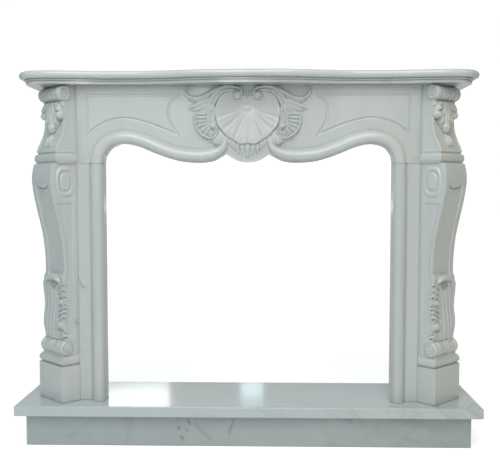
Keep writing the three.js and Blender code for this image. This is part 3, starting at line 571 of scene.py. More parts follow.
def carvePanel(field):
    one, half = friezeCut["percent"], friezeCut["halfOpening"]
    outer = friezeCut["halfLength"] + 0.3 - friezeCut["panelMargin"]
    top, foot, crown, inner = 87.5 * one, 36.5 * one, half - 31 * one, 90 * one
    at = lambda share, level: (inner + (outer - inner) * share, level * one)
    lines = [
        [(inner, top), (outer, top)],
        [(outer, top), (outer, foot)],
        [(outer, foot), at(0.9, 46.5), at(0.77, 54.5), (crown, 58.2 * one), at(0.3, 51), (inner, foot)],
        [(inner, top), at(0.075, 79), at(0.105, 67), at(0.085, 53), (inner, foot)],
    ]
    ready = [smoothLine(line, 50) if len(line) > 2 else np.array(line, float) for line in lines]
    away = np.full(field["a"].shape, 1e9)
    pick = patch(field, (inner - 12, foot - 12), (outer + 12, top + 12))
    near = np.full(int(pick.sum()), 1e9)
    for line in ready:
        near = np.minimum(near, fromLine(field["a"][pick], field["b"][pick], line)[0])
    away[pick] = near
    q = np.clip(away / (friezeCut["panelWidth"] / 2), 0, 1)
    # a round channel
    field["h"] -= friezeCut["panelDepth"] * (1 - q ** 2) ** 0.35


shellCut = {
    "middle": 71, "lobe": 24, "floor": 5.5, "rimHeight": 14.5, "flute": 2.0, "heart": 3.4, "shadeAndDust": 0.42,
    # rim, by angle round the middle: its distance, and its share of the height
    "rim": [(-180, 43.5), (-164, 43.0), (-150, 43.5), (-138, 44.5), (-127, 44.0), (-112, 45.5), (-104, 46.6), (-97, 46.4),
            (-90, 45.6), (-83, 46.4), (-76, 46.6), (-68, 45.5), (-53, 44.0), (-42, 44.5), (-30, 43.5), (-16, 43.0),
            (0, 41.5), (21, 37.5), (33, 34), (45, 29), (62, 17), (90, 14), (118, 17), (135, 29), (147, 34),
            (159, 37.5), (180, 43.5)],
    "rimShare": [(-170, 0.9), (-120, 1), (-60, 1), (-10, 0.9), (20, 0.85), (60, 0.6), (120, 0.6), (160, 0.85), (190, 0.9)],
}


def carveShell(field):
    # the concave shell: fluted lobes below, plain under the scrolls
    one = friezeCut["percent"]
    across, up = field["a"], field["b"] - shellCut["middle"] * one
    angle = np.degrees(np.arctan2(up, across))
    reach = np.interp(angle, *zip(*shellCut["rim"])) * one
    low = np.clip((-angle - 8) / 14, 0, 1) * np.clip((angle + 172) / 14, 0, 1)
    fold = np.abs(np.sin(math.pi * (angle + 90) / shellCut["lobe"])) ** 0.7      # 0 at the folds, 1 in the middle of a lobe
    half = np.cos(4 * math.pi * (angle + 90) / shellCut["lobe"])
    s = np.hypot(across, up) / (reach * (1 + (0.036 * fold - 0.02) * low))
    lip = shellCut["rimHeight"] * np.interp(angle, *zip(*shellCut["rimShare"]))
    form = shellCut["floor"] + (lip - 1.5) * np.clip(s, 0, 1) ** 1.7
    form += (shellCut["flute"] * (fold - 0.62) - 0.3 * half) * low * np.clip((s - 0.14) / 0.75, 0, 1)
    form += shellCut["heart"] * np.clip(1 - s / 0.13, 0, 1) ** 1.3
    edge = np.clip((1 - s) * reach / 3.2, 0, 1)
    form -= (0.8 + 2.4 * low) * (1 - np.sqrt(np.clip(1 - (1 - edge) ** 2, 0, 1)))
    under = field["h"] - 1.2 * np.clip(1 - (s - 1) * reach / 4, 0, 1) * low
    field["h"] = np.where(s < 1, np.maximum(form, 0.5), under)
    # a little painted shade and a duller polish in the bowl
    field["bowl"] = shellCut["shadeAndDust"] * smoothStep(1 - s, 0, 0.12) * smoothStep(s, 0.06, 0.3)


def ridge(field, spots, wide, tall, **ways):
    # a stroke with its widths in hundredths too
    stroke(field, percent(spots), np.array(wide) * friezeCut["percent"], tall, **ways)


def bud(field, a, b, wide, tall, height, **ways):
    one = friezeCut["percent"]
    ball(field, a * one, b * one, wide * one, tall * one, height, **ways)


def carvePalmette(field):
    # ribs that hang from under the shell, with small leaves at their sides
    stroke(field, percent([(0, 14), (8, 15), (16, 19), (23, 27), (30, 37)]), 42, 4.5, ends=(1, 0.5), fullness=0.7, outline=0)
    stroke(field, percent([(0, 22), (9, 22.6), (16, 25.4), (22.5, 31), (29, 39)]), 30, 9.5, ends=(1, 0.6), fullness=0.6,
           outline=0)
    for line, wide, tall in (
            ([(0, 30), (0, 20), (0, 8.8)], [4.0, 6.0, 3.4], [9, 10.5, 7]),
            ([(6.6, 29), (7.0, 21), (6.2, 11.5)], [4.4, 5.8, 3.0], [8, 9.5, 6]),
            ([(12.6, 29), (13.2, 22), (12.0, 13.5)], [4.4, 5.6, 3.0], [8, 9.5, 6]),
            ([(18.4, 32), (18.0, 25.5), (16.8, 17)], [4.4, 5.4, 2.8], [8, 9, 5]),
            ([(23.6, 36), (22.4, 29), (20.6, 21.5)], [4.2, 5.2, 2.8], [8, 8.5, 5]),
            ([(28.4, 39.5), (26.8, 33), (24.4, 26)], [3.8, 4.6, 2.4], [7.5, 8, 4])):
        ridge(field, line, wide, tall, base=3.5, outline=1.2)
        groove(field, percent(line[:2]), 4, 2.4, ends=(0.6, 0.4))


def carveBud(field):
    stroke(field, percent([(38, 30.5), (44, 31), (53, 30.5)]), [36, 28, 10], [13, 8, 1.5], fullness=0.8, outline=0)
    stroke(field, percent([(33, 30), (35.5, 24.6), (42, 22.8)]), [14, 16, 12], [8, 7, 3], ends=(1, 0.3), outline=0)
    bud(field, 37.6, 30.2, 8.6, 7.2, 17, turn=-12, outline=1.0)
    for line in ([(32.6, 33.6), (35.2, 27.6)], [(36.6, 35.6), (38.0, 28.4)], [(41.2, 35.2), (41.0, 28.8)]):
        groove(field, percent(line), 3.6, 2.6, ends=(0.4, 0.7))


def carveComb(field):
    # the rocaille comb: a rolled rim, fan ribs and a hook with its bud
    one = friezeCut["percent"]
    stroke(field, percent([(56, 68), (59, 60), (57, 50), (52, 42), (46, 39)]), [60, 66, 62, 50, 30], 5.5, fullness=0.6,
           outline=0)
    stroke(field, percent([(43, 66), (43.5, 56), (42.5, 48), (37.5, 40.5), (32.5, 36)]), 28, 8.5, fullness=0.6, outline=0)
    for rib in ([(50.4, 63.2), (64.6, 63.4)], [(51, 59.0), (65.2, 58.4)], [(51.4, 55.2), (65.2, 52.9)],
                [(51.4, 51.6), (63.6, 47.0)], [(50.6, 48.4), (59.6, 41.4)], [(48.8, 45.4), (54.2, 36.8)],
                [(45.8, 43.2), (47.4, 34.8)]):
        ridge(field, rib, [3.2, 4.2], [9.5, 11.5], ends=(0.6, 0.85), base=0.5, outline=1.5)
    rim = [(66.6, 66.5), (67.6, 58), (67.0, 50), (64.2, 43.2), (59.6, 37.8), (54.2, 34.2), (48.2, 32.2), (43.4, 33.4),
           (39.8, 37.0), (38.6, 42.0), (40.4, 46.4), (44.0, 48.6)]
    stroke(field, percent(rim), [8, 9.5, 10, 10, 10, 9.5, 9, 9, 9.5, 10], [12, 14, 15, 15.5, 15, 14], ends=(0.5, 0.9),
           taper=0.08)
    bud(field, 44.6, 48.0, 5.0, 3.9, 16, turn=8)
    pit(field, 45.2 * one, 42.6 * one, 3.0 * one, 2.0 * one, 5)
    stroke(field, percent([(43.0, 66), (42.6, 58), (42.4, 51.5)]), [7, 10, 8], [11, 12, 11], ends=(0.6, 0.6), outline=0.8)


def carveTongues(field):
    for line, wide, tall in (
            ([(51.8, 74.5), (57.4, 69.4), (61.0, 67.6)], [4.5, 4.6, 2.4], [12, 12, 8]),
            ([(44.0, 76), (43.0, 68), (43.6, 60)], [3.2, 4.6, 3.6], [13, 15, 12]),
            ([(46.4, 77), (48.8, 67.5), (50.4, 60), (49.8, 53.4)], [4.0, 6.4, 6.0, 4.6], [14, 16, 15, 11]),
            ([(49.6, 76.5), (53.0, 69), (53.4, 63.5)], [3.0, 3.6, 2.4], [12, 12, 8])):
        ridge(field, line, friezeCut["tongueWidth"] * np.array(wide), friezeCut["tongueHeight"] * np.array(tall),
              ends=(0.6, 0.7), outline=0.8)
    groove(field, percent([(47.4, 74), (49.4, 66), (50.2, 57)]), 5, 3.2, ends=(0.2, 0.2))


def carveBlades(field):
    # the sheaf of leaves that streams outwards, and the band that curls up over it
    stroke(field, percent([(46, 80), (58, 76), (71, 73.5)]), [34, 36, 16], 4, ends=(1, 0.3), fullness=0.7, outline=0)
    for line, wide, tall in (
            ([(48, 85.2), (58, 81.6), (68, 79.6), (76, 80.0)], [2.8, 3.4, 3.2, 2.0], [10, 10, 9, 5]),
            ([(44, 82.4), (54, 79.2), (64, 75.2), (71, 72.2), (77.5, 68.8)], [4.6, 5.8, 5.8, 5.0, 2.6], [14, 16, 15, 12, 6]),
            ([(48, 77.0), (56, 73.2), (64, 69.8), (73.5, 67.2)], [4.0, 5.2, 4.8, 2.4], [13, 15, 13, 6])):
        ridge(field, line, friezeCut["bladeWidth"] * np.array(wide), friezeCut["bladeHeight"] * np.array(tall),
              ends=(0.7, 0.5), fullness=0.6, outline=2.0)
    groove(field, percent([(50, 80.6), (60, 77.0), (70, 72.8)]), 3.4, 2.2, ends=(0.3, 0.2))
    groove(field, percent([(53, 74.6), (62, 70.8), (70, 68.4)]), 3.2, 2.0, ends=(0.3, 0.2))
    band = [(26, 97.0), (34, 96.2), (42, 93.4), (50, 88.6), (57, 85.0), (64, 83.2), (70.5, 83.2), (76.0, 85.6),
            (79.4, 90.5), (78.6, 96.4)]
    stroke(field, percent(band), [15, 16.5, 17, 17, 16.5, 16, 15.5, 14.5, 13, 11],
           [11, 12, 13, 12.5, 12, 11, 11, 10.5, 9.5, 7], ends=(0.7, 0.7), taper=0.1, fullness=0.7, outline=0.8)
    stroke(field, percent([(78.0, 96.6), (75.0, 96.4), (73.8, 93.2)]), [8, 8, 6], [8, 8, 5], ends=(0.9, 0.5))
    groove(field, percent([(44, 91.3), (52, 86.2), (60, 83.0), (68, 82.0)]), 3.0, 2.0, ends=(0.2, 0.2))


def carveScroll(field):
    # the heavy scroll along the top of the shell: three ridges that run into a volute
    for line, wide, tall in (
            ([(14, 96.5), (22, 98), (31, 97), (39.5, 91.5), (45.5, 83.5), (48.6, 76.5), (49.4, 70)],
             [5.2, 6.4, 6.8, 7.2, 7.0, 6.2, 4.6], [13, 15, 16, 16, 15, 14, 11]),
            ([(13, 92.6), (20, 93.4), (30, 92.2), (37.0, 87.1), (41.6, 80.1), (44.2, 73.1), (44.6, 66)],
             [4.8, 6.0, 6.4, 6.6, 6.4, 5.8, 4.4], [14, 15.5, 16.5, 17, 16, 14.5, 11]),
            ([(19, 88.8), (29.5, 87.8), (34.2, 83.6), (37.2, 77.6), (39.2, 70.6), (40.6, 63)],
             [3.6, 4.8, 5.2, 5.2, 5.0, 4.0], [13, 15, 16, 16, 15, 12])):
        ridge(field, line, wide, friezeCut["scrollHeight"] * np.array(tall), ends=(0.7, 0.6), taper=0.12, fullness=0.62,
              outline=0.7)
    stroke(field, percent([(9.4, 87), (9.0, 93), (13, 96.6), (18, 97.2)]), [9, 11, 11, 10], [13, 15, 15, 14], outline=0.8)
    bud(field, 13.2, 86.6, 6.4, 6.2, 21, outline=2.4)
    ridge(field, [(0, 82), (0, 98)], [10, 20], 3.5, ends=(0.4, 1), fullness=0.5, outline=0)
    for a, wide in ((0, 3.6), (4.2, 3.2), (8.0, 2.8)):
        ridge(field, [(0.5 * a, 82), (0.85 * a, 90), (1.15 * a, 97.5)], wide, [6, 9, 7], ends=(0.5, 0.8), outline=0.5)


def friezeStone():
    field, arch = friezeGrid()
    carvePanel(field)
    carveRoll(field, arch)
    for carve in (carveShell, carvePalmette, carveBud, carveComb, carveTongues, carveBlades, carveScroll):
        carve(field)
    relief = softened(field["h"])
    relief[:, 0] = field["h"][:, 0]
    relief[:, -1] -= friezeCut["arris"]
    relief[-1, :] -= friezeCut["arris"]
    hollow = np.maximum(hollowsOf(relief), field["bowl"])
    hollow[field["a"][:, 0] > friezeCut["halfOpening"], :3] = friezeCut["jointDust"]
    shape = np.stack([field["a"], frontLine - relief, friezeCut["bottom"] + field["b"]], -1)
    front = np.concatenate([shape[:0:-1] * [-1, 1, 1], shape])      # carved on the right, mirrored to the left
    hollow = np.concatenate([hollow[:0:-1], hollow])
    columns, rows = front.shape[:2]
    rear = front[:, [0, -1], :].copy()
    rear[..., 1] = frontLine + friezeCut["thickness"]
    points = np.concatenate([front.reshape(-1, 3), rear.reshape(-1, 3)])
    c, offset = np.arange(columns - 1), columns * rows
    below, above = offset + 2 * c, offset + 2 * c + 1
    quads = [gridQuads(columns, rows), gridQuads(columns, 2, offset)[:, ::-1],
             np.stack([c * rows, below, below + 2, (c + 1) * rows], -1),
             np.stack([c * rows + rows - 1, (c + 1) * rows + rows - 1, above + 2, above], -1)]
    sides = [list(range(rows)) + [offset + 1, offset],
             list(range(offset - 1, offset - rows - 1, -1)) + [offset + 2 * columns - 2, offset + 2 * columns - 1]]
    mesh = meshFrom("friezeStone", points, np.concatenate(quads), sides)
    values = np.concatenate([hollow.ravel(), np.zeros(2 * columns)])
    placeStone("frieze_carved", mesh, carvedMarble, "frieze", 0.31, values, keep=friezeCut["keep"],
               crease=55)


friezeStone()


# consoles: two stones each side, turned 45 degrees; levels are over the hearth, reach is out of the frame's corner
consoleCut = {
    "start": 590.0, "inset": 12.0, "breadth": 156.0, "reach": 72.0, "arris": 2.6, "blend": 14.0, "cell": 1.5,
    "flankColumns": 46, "crease": 62, "foot": 128.0, "joint": 830.0, "head": 1097.0, "legBottom": 128.3,
    "legTop": 829.7, "capitalBottom": 830.0, "capitalTop": 1096.7,
}
legCurve = [(0, .553), (.125, .553), (.16, .583), (.222, .633), (.295, .543), (.373, .633), (.43, .653), (.501, .663),
            (.563, .693), (.624, .763), (.687, .883), (.748, 1.033), (.811, 1.178), (.872, 1.289), (.929, 1.338),
            (.969, 1.289), (1, 1.206)]
capitalCurve = [(0, 1.093), (.13, 1.073), (.21, .983), (.29, .833), (.37, .703), (.45, .623), (.54, .583), (.65, .573),
                (.78, .583), (1, .553)]


def curveAt(pairs, at):
    # smooth curve through pairs, without overshoot worth seeing
    x = np.array([p[0] for p in pairs])
    y = np.array([p[1] for p in pairs])
    slope = np.gradient(y, x)
    at = np.clip(at, x[0], x[-1])
    k = np.clip(np.searchsorted(x, at) - 1, 0, len(x) - 2)
    w = x[k + 1] - x[k]
    t = (at - x[k]) / w
    return ((2 * t ** 3 - 3 * t ** 2 + 1) * y[k] + (t ** 3 - 2 * t ** 2 + t) * w * slope[k]
            + (-2 * t ** 3 + 3 * t ** 2) * y[k + 1] + (t ** 3 - t ** 2) * w * slope[k + 1])


def legFace(level):
    share = (level - consoleCut["foot"]) / (consoleCut["joint"] - consoleCut["foot"])
    return consoleCut["reach"] * curveAt(legCurve, share)


def capitalFace(level):
    share = (level - consoleCut["joint"]) / (consoleCut["head"] - consoleCut["joint"])
    return consoleCut["reach"] * curveAt(capitalCurve, share)


def rolled(level, centre, radius):
    # front of a roll at each level, or -99 above and below it
    rise = radius ** 2 - (level - centre) ** 2
    return np.where(rise > 0, np.sqrt(np.maximum(rise, 0)), -99)


def console(name, levels, carveBroad, carveFlank, side, nodeName, shift):
    inset, breadth, arris = consoleCut["inset"], consoleCut["breadth"], consoleCut["arris"]
    middle, tall = breadth / 2, len(levels)
    # broad face
    bend = arris * np.array([0, 0.15, 0.45])
    inner = np.linspace(inset + arris, breadth - inset - arris, int((breadth - 2 * inset) / consoleCut["cell"]))
    a = np.concatenate([inset + bend, inner, (breadth - inset - bend)[::-1]])
    broad = {"a": np.repeat(a[:, None], tall, 1), "b": np.repeat(levels[None, :], len(a), 0)}
    broad["h"] = np.zeros(broad["a"].shape)
    spread, base = carveBroad(broad)     # how far the sides spread out, and the reach of the face
    edge = np.minimum(broad["a"] - inset, breadth - inset - broad["a"])
    drop = arris - np.sqrt(np.maximum(arris ** 2 - np.maximum(arris - edge, 0) ** 2, 0))
    reach = base + softened(broad["h"]) - drop
    broadA = middle + (broad["a"] - middle) * (1 + spread[None, :] / (middle - inset))
    # flank, the same on both sides
    share = np.concatenate([np.linspace(0, 0.9, consoleCut["flankColumns"]), [0.94, 0.97, 1.0]])
    flankH = share[:, None] * reach[0][None, :]
    flank = {"a": flankH, "b": np.repeat(levels[None, :], len(share), 0), "h": np.zeros(flankH.shape)}
    carveFlank(flank, reach[0])
    out = softened(flank["h"])
    flankA = np.maximum(inset - spread[None, :] - out, -flankH + 0.2)         # never into the frame beside it
    # ring of columns: inner flank, broad face, outer flank, back
    near = consoleCut["blend"]
    rings = [np.stack([np.zeros(tall), np.zeros(tall)], -1)]
    rings += [np.stack([flankA[i], flankH[i]], -1) for i in range(len(share) - 1)]
    for i in range(len(a)):
        ease = np.clip(1 - (a[i] - inset) / near, 0, 1) - np.clip(1 - (breadth - inset - a[i]) / near, 0, 1)
        rings.append(np.stack([broadA[i] - out[-1] * ease, reach[i]], -1))
    rings += [np.stack([breadth - flankA[i], flankH[i]], -1) for i in range(len(share) - 2, -1, -1)]
    rings.append(np.stack([np.full(tall, breadth), np.zeros(tall)], -1))
    rings.append(np.stack([np.full(tall, middle), np.full(tall, -middle)], -1))
    ring = np.stack(rings)
    # nothing passes the frame's face or the plane of the side return
    ring[..., 0] = np.maximum(ring[..., 0], -ring[..., 1])
    ring[..., 0] = np.minimum(ring[..., 0], breadth + ring[..., 1])
    for k in (0, -1):       # the arris at the joints
        ring[:, k] += (np.array([middle, 0]) - ring[:, k]) * 0.006
    points = np.empty((len(rings), tall, 3))
    points[..., 0] = side * (consoleCut["start"] + (ring[..., 0] + ring[..., 1]) * halfRoot)
    points[..., 1] = frontLine + (ring[..., 0] - ring[..., 1]) * halfRoot
    points[..., 2] = hearthTop + levels[None, :]
    edgeHollow, faceHollow = hollowsOf(out), hollowsOf(reach)
    marks = np.concatenate([np.zeros((1, tall)), edgeHollow[:-1], faceHollow, edgeHollow[-2::-1], np.zeros((2, tall))])
    quads = gridQuads(len(rings), tall, closed=True)[:, ::side]
    caps = [[i * tall for i in range(len(rings))][::-side], [i * tall + tall - 1 for i in range(len(rings))][::side]]
    mesh = meshFrom(name, points.reshape(-1, 3), quads, caps)
    placeStone(name, mesh, carvedMarble, nodeName, shift, marks.ravel(), crease=consoleCut["crease"])


legCut = {
    "middle": 78.0, "panelBorder": 24.0, "panelSink": 5.0, "panelTop": 760.0, "panelFoot": 436.0, "tongue": 743.0,
    "tongueDepth": 5.5, "lineDepth": 1.6, "leafFoot": 213.0, "leafRise": 8.0, "bossPit": 11.0,
    "rollLevel": 188.0, "rollAxis": 44.4, "rollRadius": 27.6, "capTop": 160.4, "capReach": 68.0,
    "flankBack": 13.0, "flankEdge": 10.0, "flankSink": 3.0, "flankFoot": 234.0, "flankTop": 693.0, "eye": (38.5, 189.0),
    "ovalAt": (40.0, 767.0), "ovalSize": (36.5, 53.0), "ovalRing": 3.8, "ovalPlate": 3.2,
}


def capMoulding(level):
    # the moulding on the plinth: joint recess, torus, fillet
    rows = [(consoleCut["foot"], -3.0), (130.6, -3.0), (132.0, -1.2), (133.4, 0.2)]
    torus = [(133.4 + 19 * s, 0.2 + 3.0 * math.sin(math.pi * s)) for s in np.linspace(0.04, 1, 14)]
    rows += torus + [(153.2, -1.4), (154, -2.6), (157.6, -2.8), (158.6, -4.5), (161, -6.5)]
    return np.interp(level, [r[0] for r in rows], [r[1] for r in rows])


def carveLegPanel(field):
    # sunk panel with plain borders, ended by a tongue under the knee
    a, level = field["a"], field["b"]
    side = consoleCut["inset"] + legCut["panelBorder"]
    edge = np.minimum(a - side, consoleCut["breadth"] - side - a)
    dip = np.abs(a - legCut["middle"]) / (legCut["middle"] - side)
    top = legCut["panelTop"] - (legCut["panelTop"] - legCut["tongue"]) * np.clip(1 - dip ** 2, 0, 1)
    inside = smoothStep(edge, -1.2, 1.2) * smoothStep(top - level, -1.4, 1.4)
    field["h"] -= legCut["panelSink"] * inside * smoothStep(level, legCut["panelFoot"] - 30, legCut["panelFoot"])
    groove(field, [(36, 760), (52, 748.5), (78, 743.5), (104, 748.5), (120, 760)], 6.5, legCut["tongueDepth"],
           ends=(0.6, 0.6))
    stroke(field, [(46, 743), (60, 737), (78, 734.5), (96, 737), (110, 743)], 6, 4, ends=(0.5, 0.5),
           base=-legCut["panelSink"], outline=0)
    for at in (side + 1, consoleCut["breadth"] - side - 1):
        groove(field, [(at, 440), (at, 757)], 4, legCut["lineDepth"])


def carveLegLeaf(field):
    # the leaf stands out of the face as a whole, under a folded tip with a dark hollow
    a, level = field["a"], field["b"]
    rise = smoothStep(level, 402, 424) * (1 - smoothStep(level, 430, 452))
    field["h"] = field["h"] * (1 - rise) + legCut["leafRise"] * rise
    body = smoothStep(level, 209, 216) * (1 - smoothStep(level, 408, 420))
    bulge = 1 + 0.3 * (np.exp(-((level - 262) / 20) ** 2) + np.exp(-((level - 350) / 20) ** 2))
    drift = 3.5 * np.sin((level - 240) / 19) + 2.5 * np.sin((level + a) / 31)
    flutes = (1.2 + 0.6 * np.sin(level / 37)) * np.cos(2 * math.pi * (a - 74 + drift + 0.1 * (level - 310)) / 22)
    sheet = np.sqrt(np.clip(1 - ((a - 101) / 52) ** 2, 0, 1))
    field["h"] = field["h"] * (1 - body) + (10 + (5 * bulge + flutes) * sheet) * body
    groove(field, [(64, 392), (68, 350), (65, 300), (68, 262), (66, 216)], 6, 4.5, ends=(0.3, 0.7))
    pit(field, 79, 408, 27, 15, 23, power=0.5)
    pit(field, 66, 396, 9, 9, 7)
    pit(field, 114, 402, 20, 7, 6, turn=-18)
    stroke(field, [(32, 412), (48, 428), (80, 434), (112, 428), (132, 415), (143, 399)], [14, 20, 23, 23, 20, 16],
           [15, 19, 20, 20, 18, 15], ends=(0.6, 0.8), taper=0.12, outline=1.2)
    # inner edge: a column of bosses, with lobes and ridges that lean outwards going down
    stroke(field, [(26, 214), (26, 262), (30, 300), (28, 340), (24, 400)], [34, 44, 36, 42, 30], [10, 12, 10, 12, 11],
           fullness=0.7, outline=0.4)
    ball(field, 37, 349, 20, 13, 20, turn=-14, outline=2.6)
    ball(field, 35, 268, 23, 17, 20, turn=-8, outline=2.6)
    for ridge in ([(14, 417), (34, 406), (54, 384)], [(14, 397), (32, 388), (52, 368)], [(14, 376), (28, 371), (44, 364)],
                  [(15, 333), (36, 325), (58, 308)], [(15, 318), (34, 310), (58, 292)], [(14, 302), (28, 297), (40, 290)]):
        stroke(field, ridge, [9, 11, 8], [16, 18, 14], ends=(0.8, 0.5), outline=2.8)
    stroke(field, [(16, 246), (20, 232), (34, 219)], [9, 11, 8], [13, 14, 12], ends=(0.8, 0.6), outline=1.4)
    for at, b in ((16, 407), (16, 387), (16, 366), (17, 339), (16, 325), (15, 310), (16, 293), (14, 240), (15, 225)):
        pit(field, at, b, 6, 3.6, legCut["bossPit"], power=0.6)
    groove(field, [(13, 250), (34, 249), (60, 250)], 5, 5, ends=(0.8, 0.5))
    ball(field, 141, 350, 7, 16, 13, outline=0)
    ball(field, 141, 266, 7, 18, 14, outline=0)
    field["h"] *= smoothStep(level, legCut["leafFoot"] - 6, legCut["leafFoot"])


def reeded(across, first, second, waist):
    # how much a roll loses along its length: two reeds each side, a waist, and rounded ends
    reeds = [deep * np.exp(-((across - at) / wide) ** 2) for at, deep, wide in (first, second)]
    return sum(reeds) + waist + 5 * np.clip((across - 54) / 12, 0, 1) ** 2


def carveLegBroad(field):
    carveLegPanel(field)
    carveLegLeaf(field)
    level, flat, columns = field["b"], field["b"][0], field["a"].shape[0]
    across = np.abs(field["a"] - legCut["middle"])
    loss = reeded(across, (49, 5.4, 3.8), (8, 3.6, 3.4), 1.6 * (1 - smoothStep(across, 12, 58)))
    roll = legCut["rollAxis"] + rolled(level, legCut["rollLevel"], legCut["rollRadius"] - loss)
    moulding = np.repeat((legCut["capReach"] + capMoulding(flat))[None, :], columns, 0)
    neck = np.where(flat > 206, legFace(flat), np.where(flat < 166, 61, 40))
    base = np.maximum(np.repeat(neck[None, :], columns, 0), roll)
    spread = np.where(flat < legCut["capTop"], consoleCut["inset"] + np.minimum(capMoulding(flat), 2.4), 0.0)
    return spread, np.where(level < legCut["capTop"], moulding, base)


def carveLegFlank(field, reach):
    h, level = field["a"], field["b"]
    # disc of the foot roll, with its eye
    r = np.hypot(h - legCut["rollAxis"], level - legCut["rollLevel"])
    eye = np.hypot(h - legCut["eye"][0], level - legCut["eye"][1])
    disc = 7.5 * np.sqrt(np.clip(1 - (r / (legCut["rollRadius"] - 0.2)) ** 6, 0, 1)) * smoothStep(h, 12, 26)
    disc -= 2.8 * np.exp(-((eye - 18.6) / 1.8) ** 2) + 2.2 * np.exp(-((eye - 9.6) / 1.7) ** 2)
    disc += 1.6 * np.clip(1 - (eye / 8) ** 2, 0, 1)
    field["h"] = np.where((r < legCut["rollRadius"]) & (level > 160), np.maximum(disc, 0), field["h"])
    # sunk panel that follows the console's front
    inside = smoothStep(h, legCut["flankBack"] - 1, legCut["flankBack"] + 1)
    inside *= smoothStep(reach[None, :] - h, legCut["flankEdge"] - 1, legCut["flankEdge"] + 1)
    inside *= smoothStep(level, legCut["flankFoot"] - 2, legCut["flankFoot"] + 2)
    inside *= 1 - smoothStep(level, legCut["flankTop"] - 2, legCut["flankTop"] + 2)
    field["h"] -= legCut["flankSink"] * inside
    groove(field, [(28, 450), (28, 690)], 4.0, 1.8, ends=(0.3, 1))
    # closed ovals on the knee, fading towards the frame
    (at, middle), (wide, tall) = legCut["ovalAt"], legCut["ovalSize"]
    q = (np.abs((h - at) / wide) ** 2.7 + np.abs((level - middle) / tall) ** 2.7) ** (1 / 2.7)
    ring = legCut["ovalRing"] * np.clip(1 - ((q - 0.83) * 40 / 6.8) ** 2, 0, 1) ** 0.8
    plate = legCut["ovalPlate"] * (1 - smoothStep(q, 0.46, 0.60))
    field["h"] += (ring + plate) * smoothStep(h, 1, 34)
    field["h"] -= 0.9 * np.exp(-((q - 1.05) * 40 / 1.8) ** 2) + 1.2 * np.exp(-((q - 0.63) * 40 / 1.8) ** 2)


capitalCut = {
    "middle": 78.0, "border": 9.0, "panelSink": 2.4, "panelFoot": 874.0, "panelTop": 1039.0, "leafTop": 1046.0,
    "jointTop": 834.4, "jointReach": 74.0, "torusLevel": 848.0, "torusHalf": 13.4, "torusRoot": 74.8, "torusReach": 5.2,
    "torusTop": 862.0, "gapLevel": 865.0, "gapDepth": 6.5, "gapHalf": 3.2,
    "rollLevel": 1069.7, "rollAxis": 40.0, "rollRadius": 27.0, "flankSink": 1.2,
}


def carveCapitalLeaf(field):
    # the big leaf that hangs from under the roll: a fan, two side lobes that overhang, one long lobe
    middle = capitalCut["middle"]
    stroke(field, [(middle, 1048), (middle, 1022), (middle, 998), (middle, 984)], [132, 136, 122, 90], [8, 15, 19, 18],
           ends=(1, 0.9), taper=0.1, fullness=0.5, outline=2)
    stroke(field, [(middle, 1030), (middle, 985), (middle, 952)], [40, 42, 44], [17, 22, 23], ends=(0.7, 0.85), taper=0.15,
           fullness=0.5, outline=2.4)
    ball(field, middle, 956, 21, 14, 24, fullness=0.5, outline=2.4)
    for lean in (-1, 1):
        at = lambda points: [(middle + lean * (middle - a), b) for a, b in points]
        stroke(field, at([(62, 1038), (44, 1028), (30, 1014), (26, 998)]), [18, 26, 32, 26], [13, 19, 22, 21],
               ends=(0.6, 0.85), outline=1.6)
        ball(field, middle + lean * (middle - 28), 996, 17, 15, 24, turn=lean * 20, outline=2.4)
        ball(field, middle + lean * (middle - 50), 978, 10, 17, 19, turn=lean * 8, outline=2.4)
        for vein in ([(72, 1042), (58, 1018), (50, 992)], [(66, 1042), (46, 1030), (24, 1022)],
                     [(70, 1012), (62, 990), (60, 962)], [(56, 1018), (40, 1010), (16, 1004)]):
            groove(field, at(vein), [4, 7, 4], 5.5, ends=(0.3, 0.3))
        for vein in ([(78, 1038), (73, 1000), (71, 962)], [(70, 1040), (60, 1026), (52, 1008)],
                     [(60, 1036), (44, 1020), (36, 996)], [(46, 1016), (34, 1004), (26, 988)]):
            groove(field, at(vein), [3, 5, 3], 3.2, ends=(0.2, 0.2))
        pit(field, middle + lean * (middle - 36), 978, 7, 4, 8)
        pit(field, middle + lean * (middle - 18), 1022, 6, 3.6, 8)
    field["h"] *= 1 - smoothStep(field["b"], capitalCut["leafTop"] - 8, capitalCut["leafTop"])


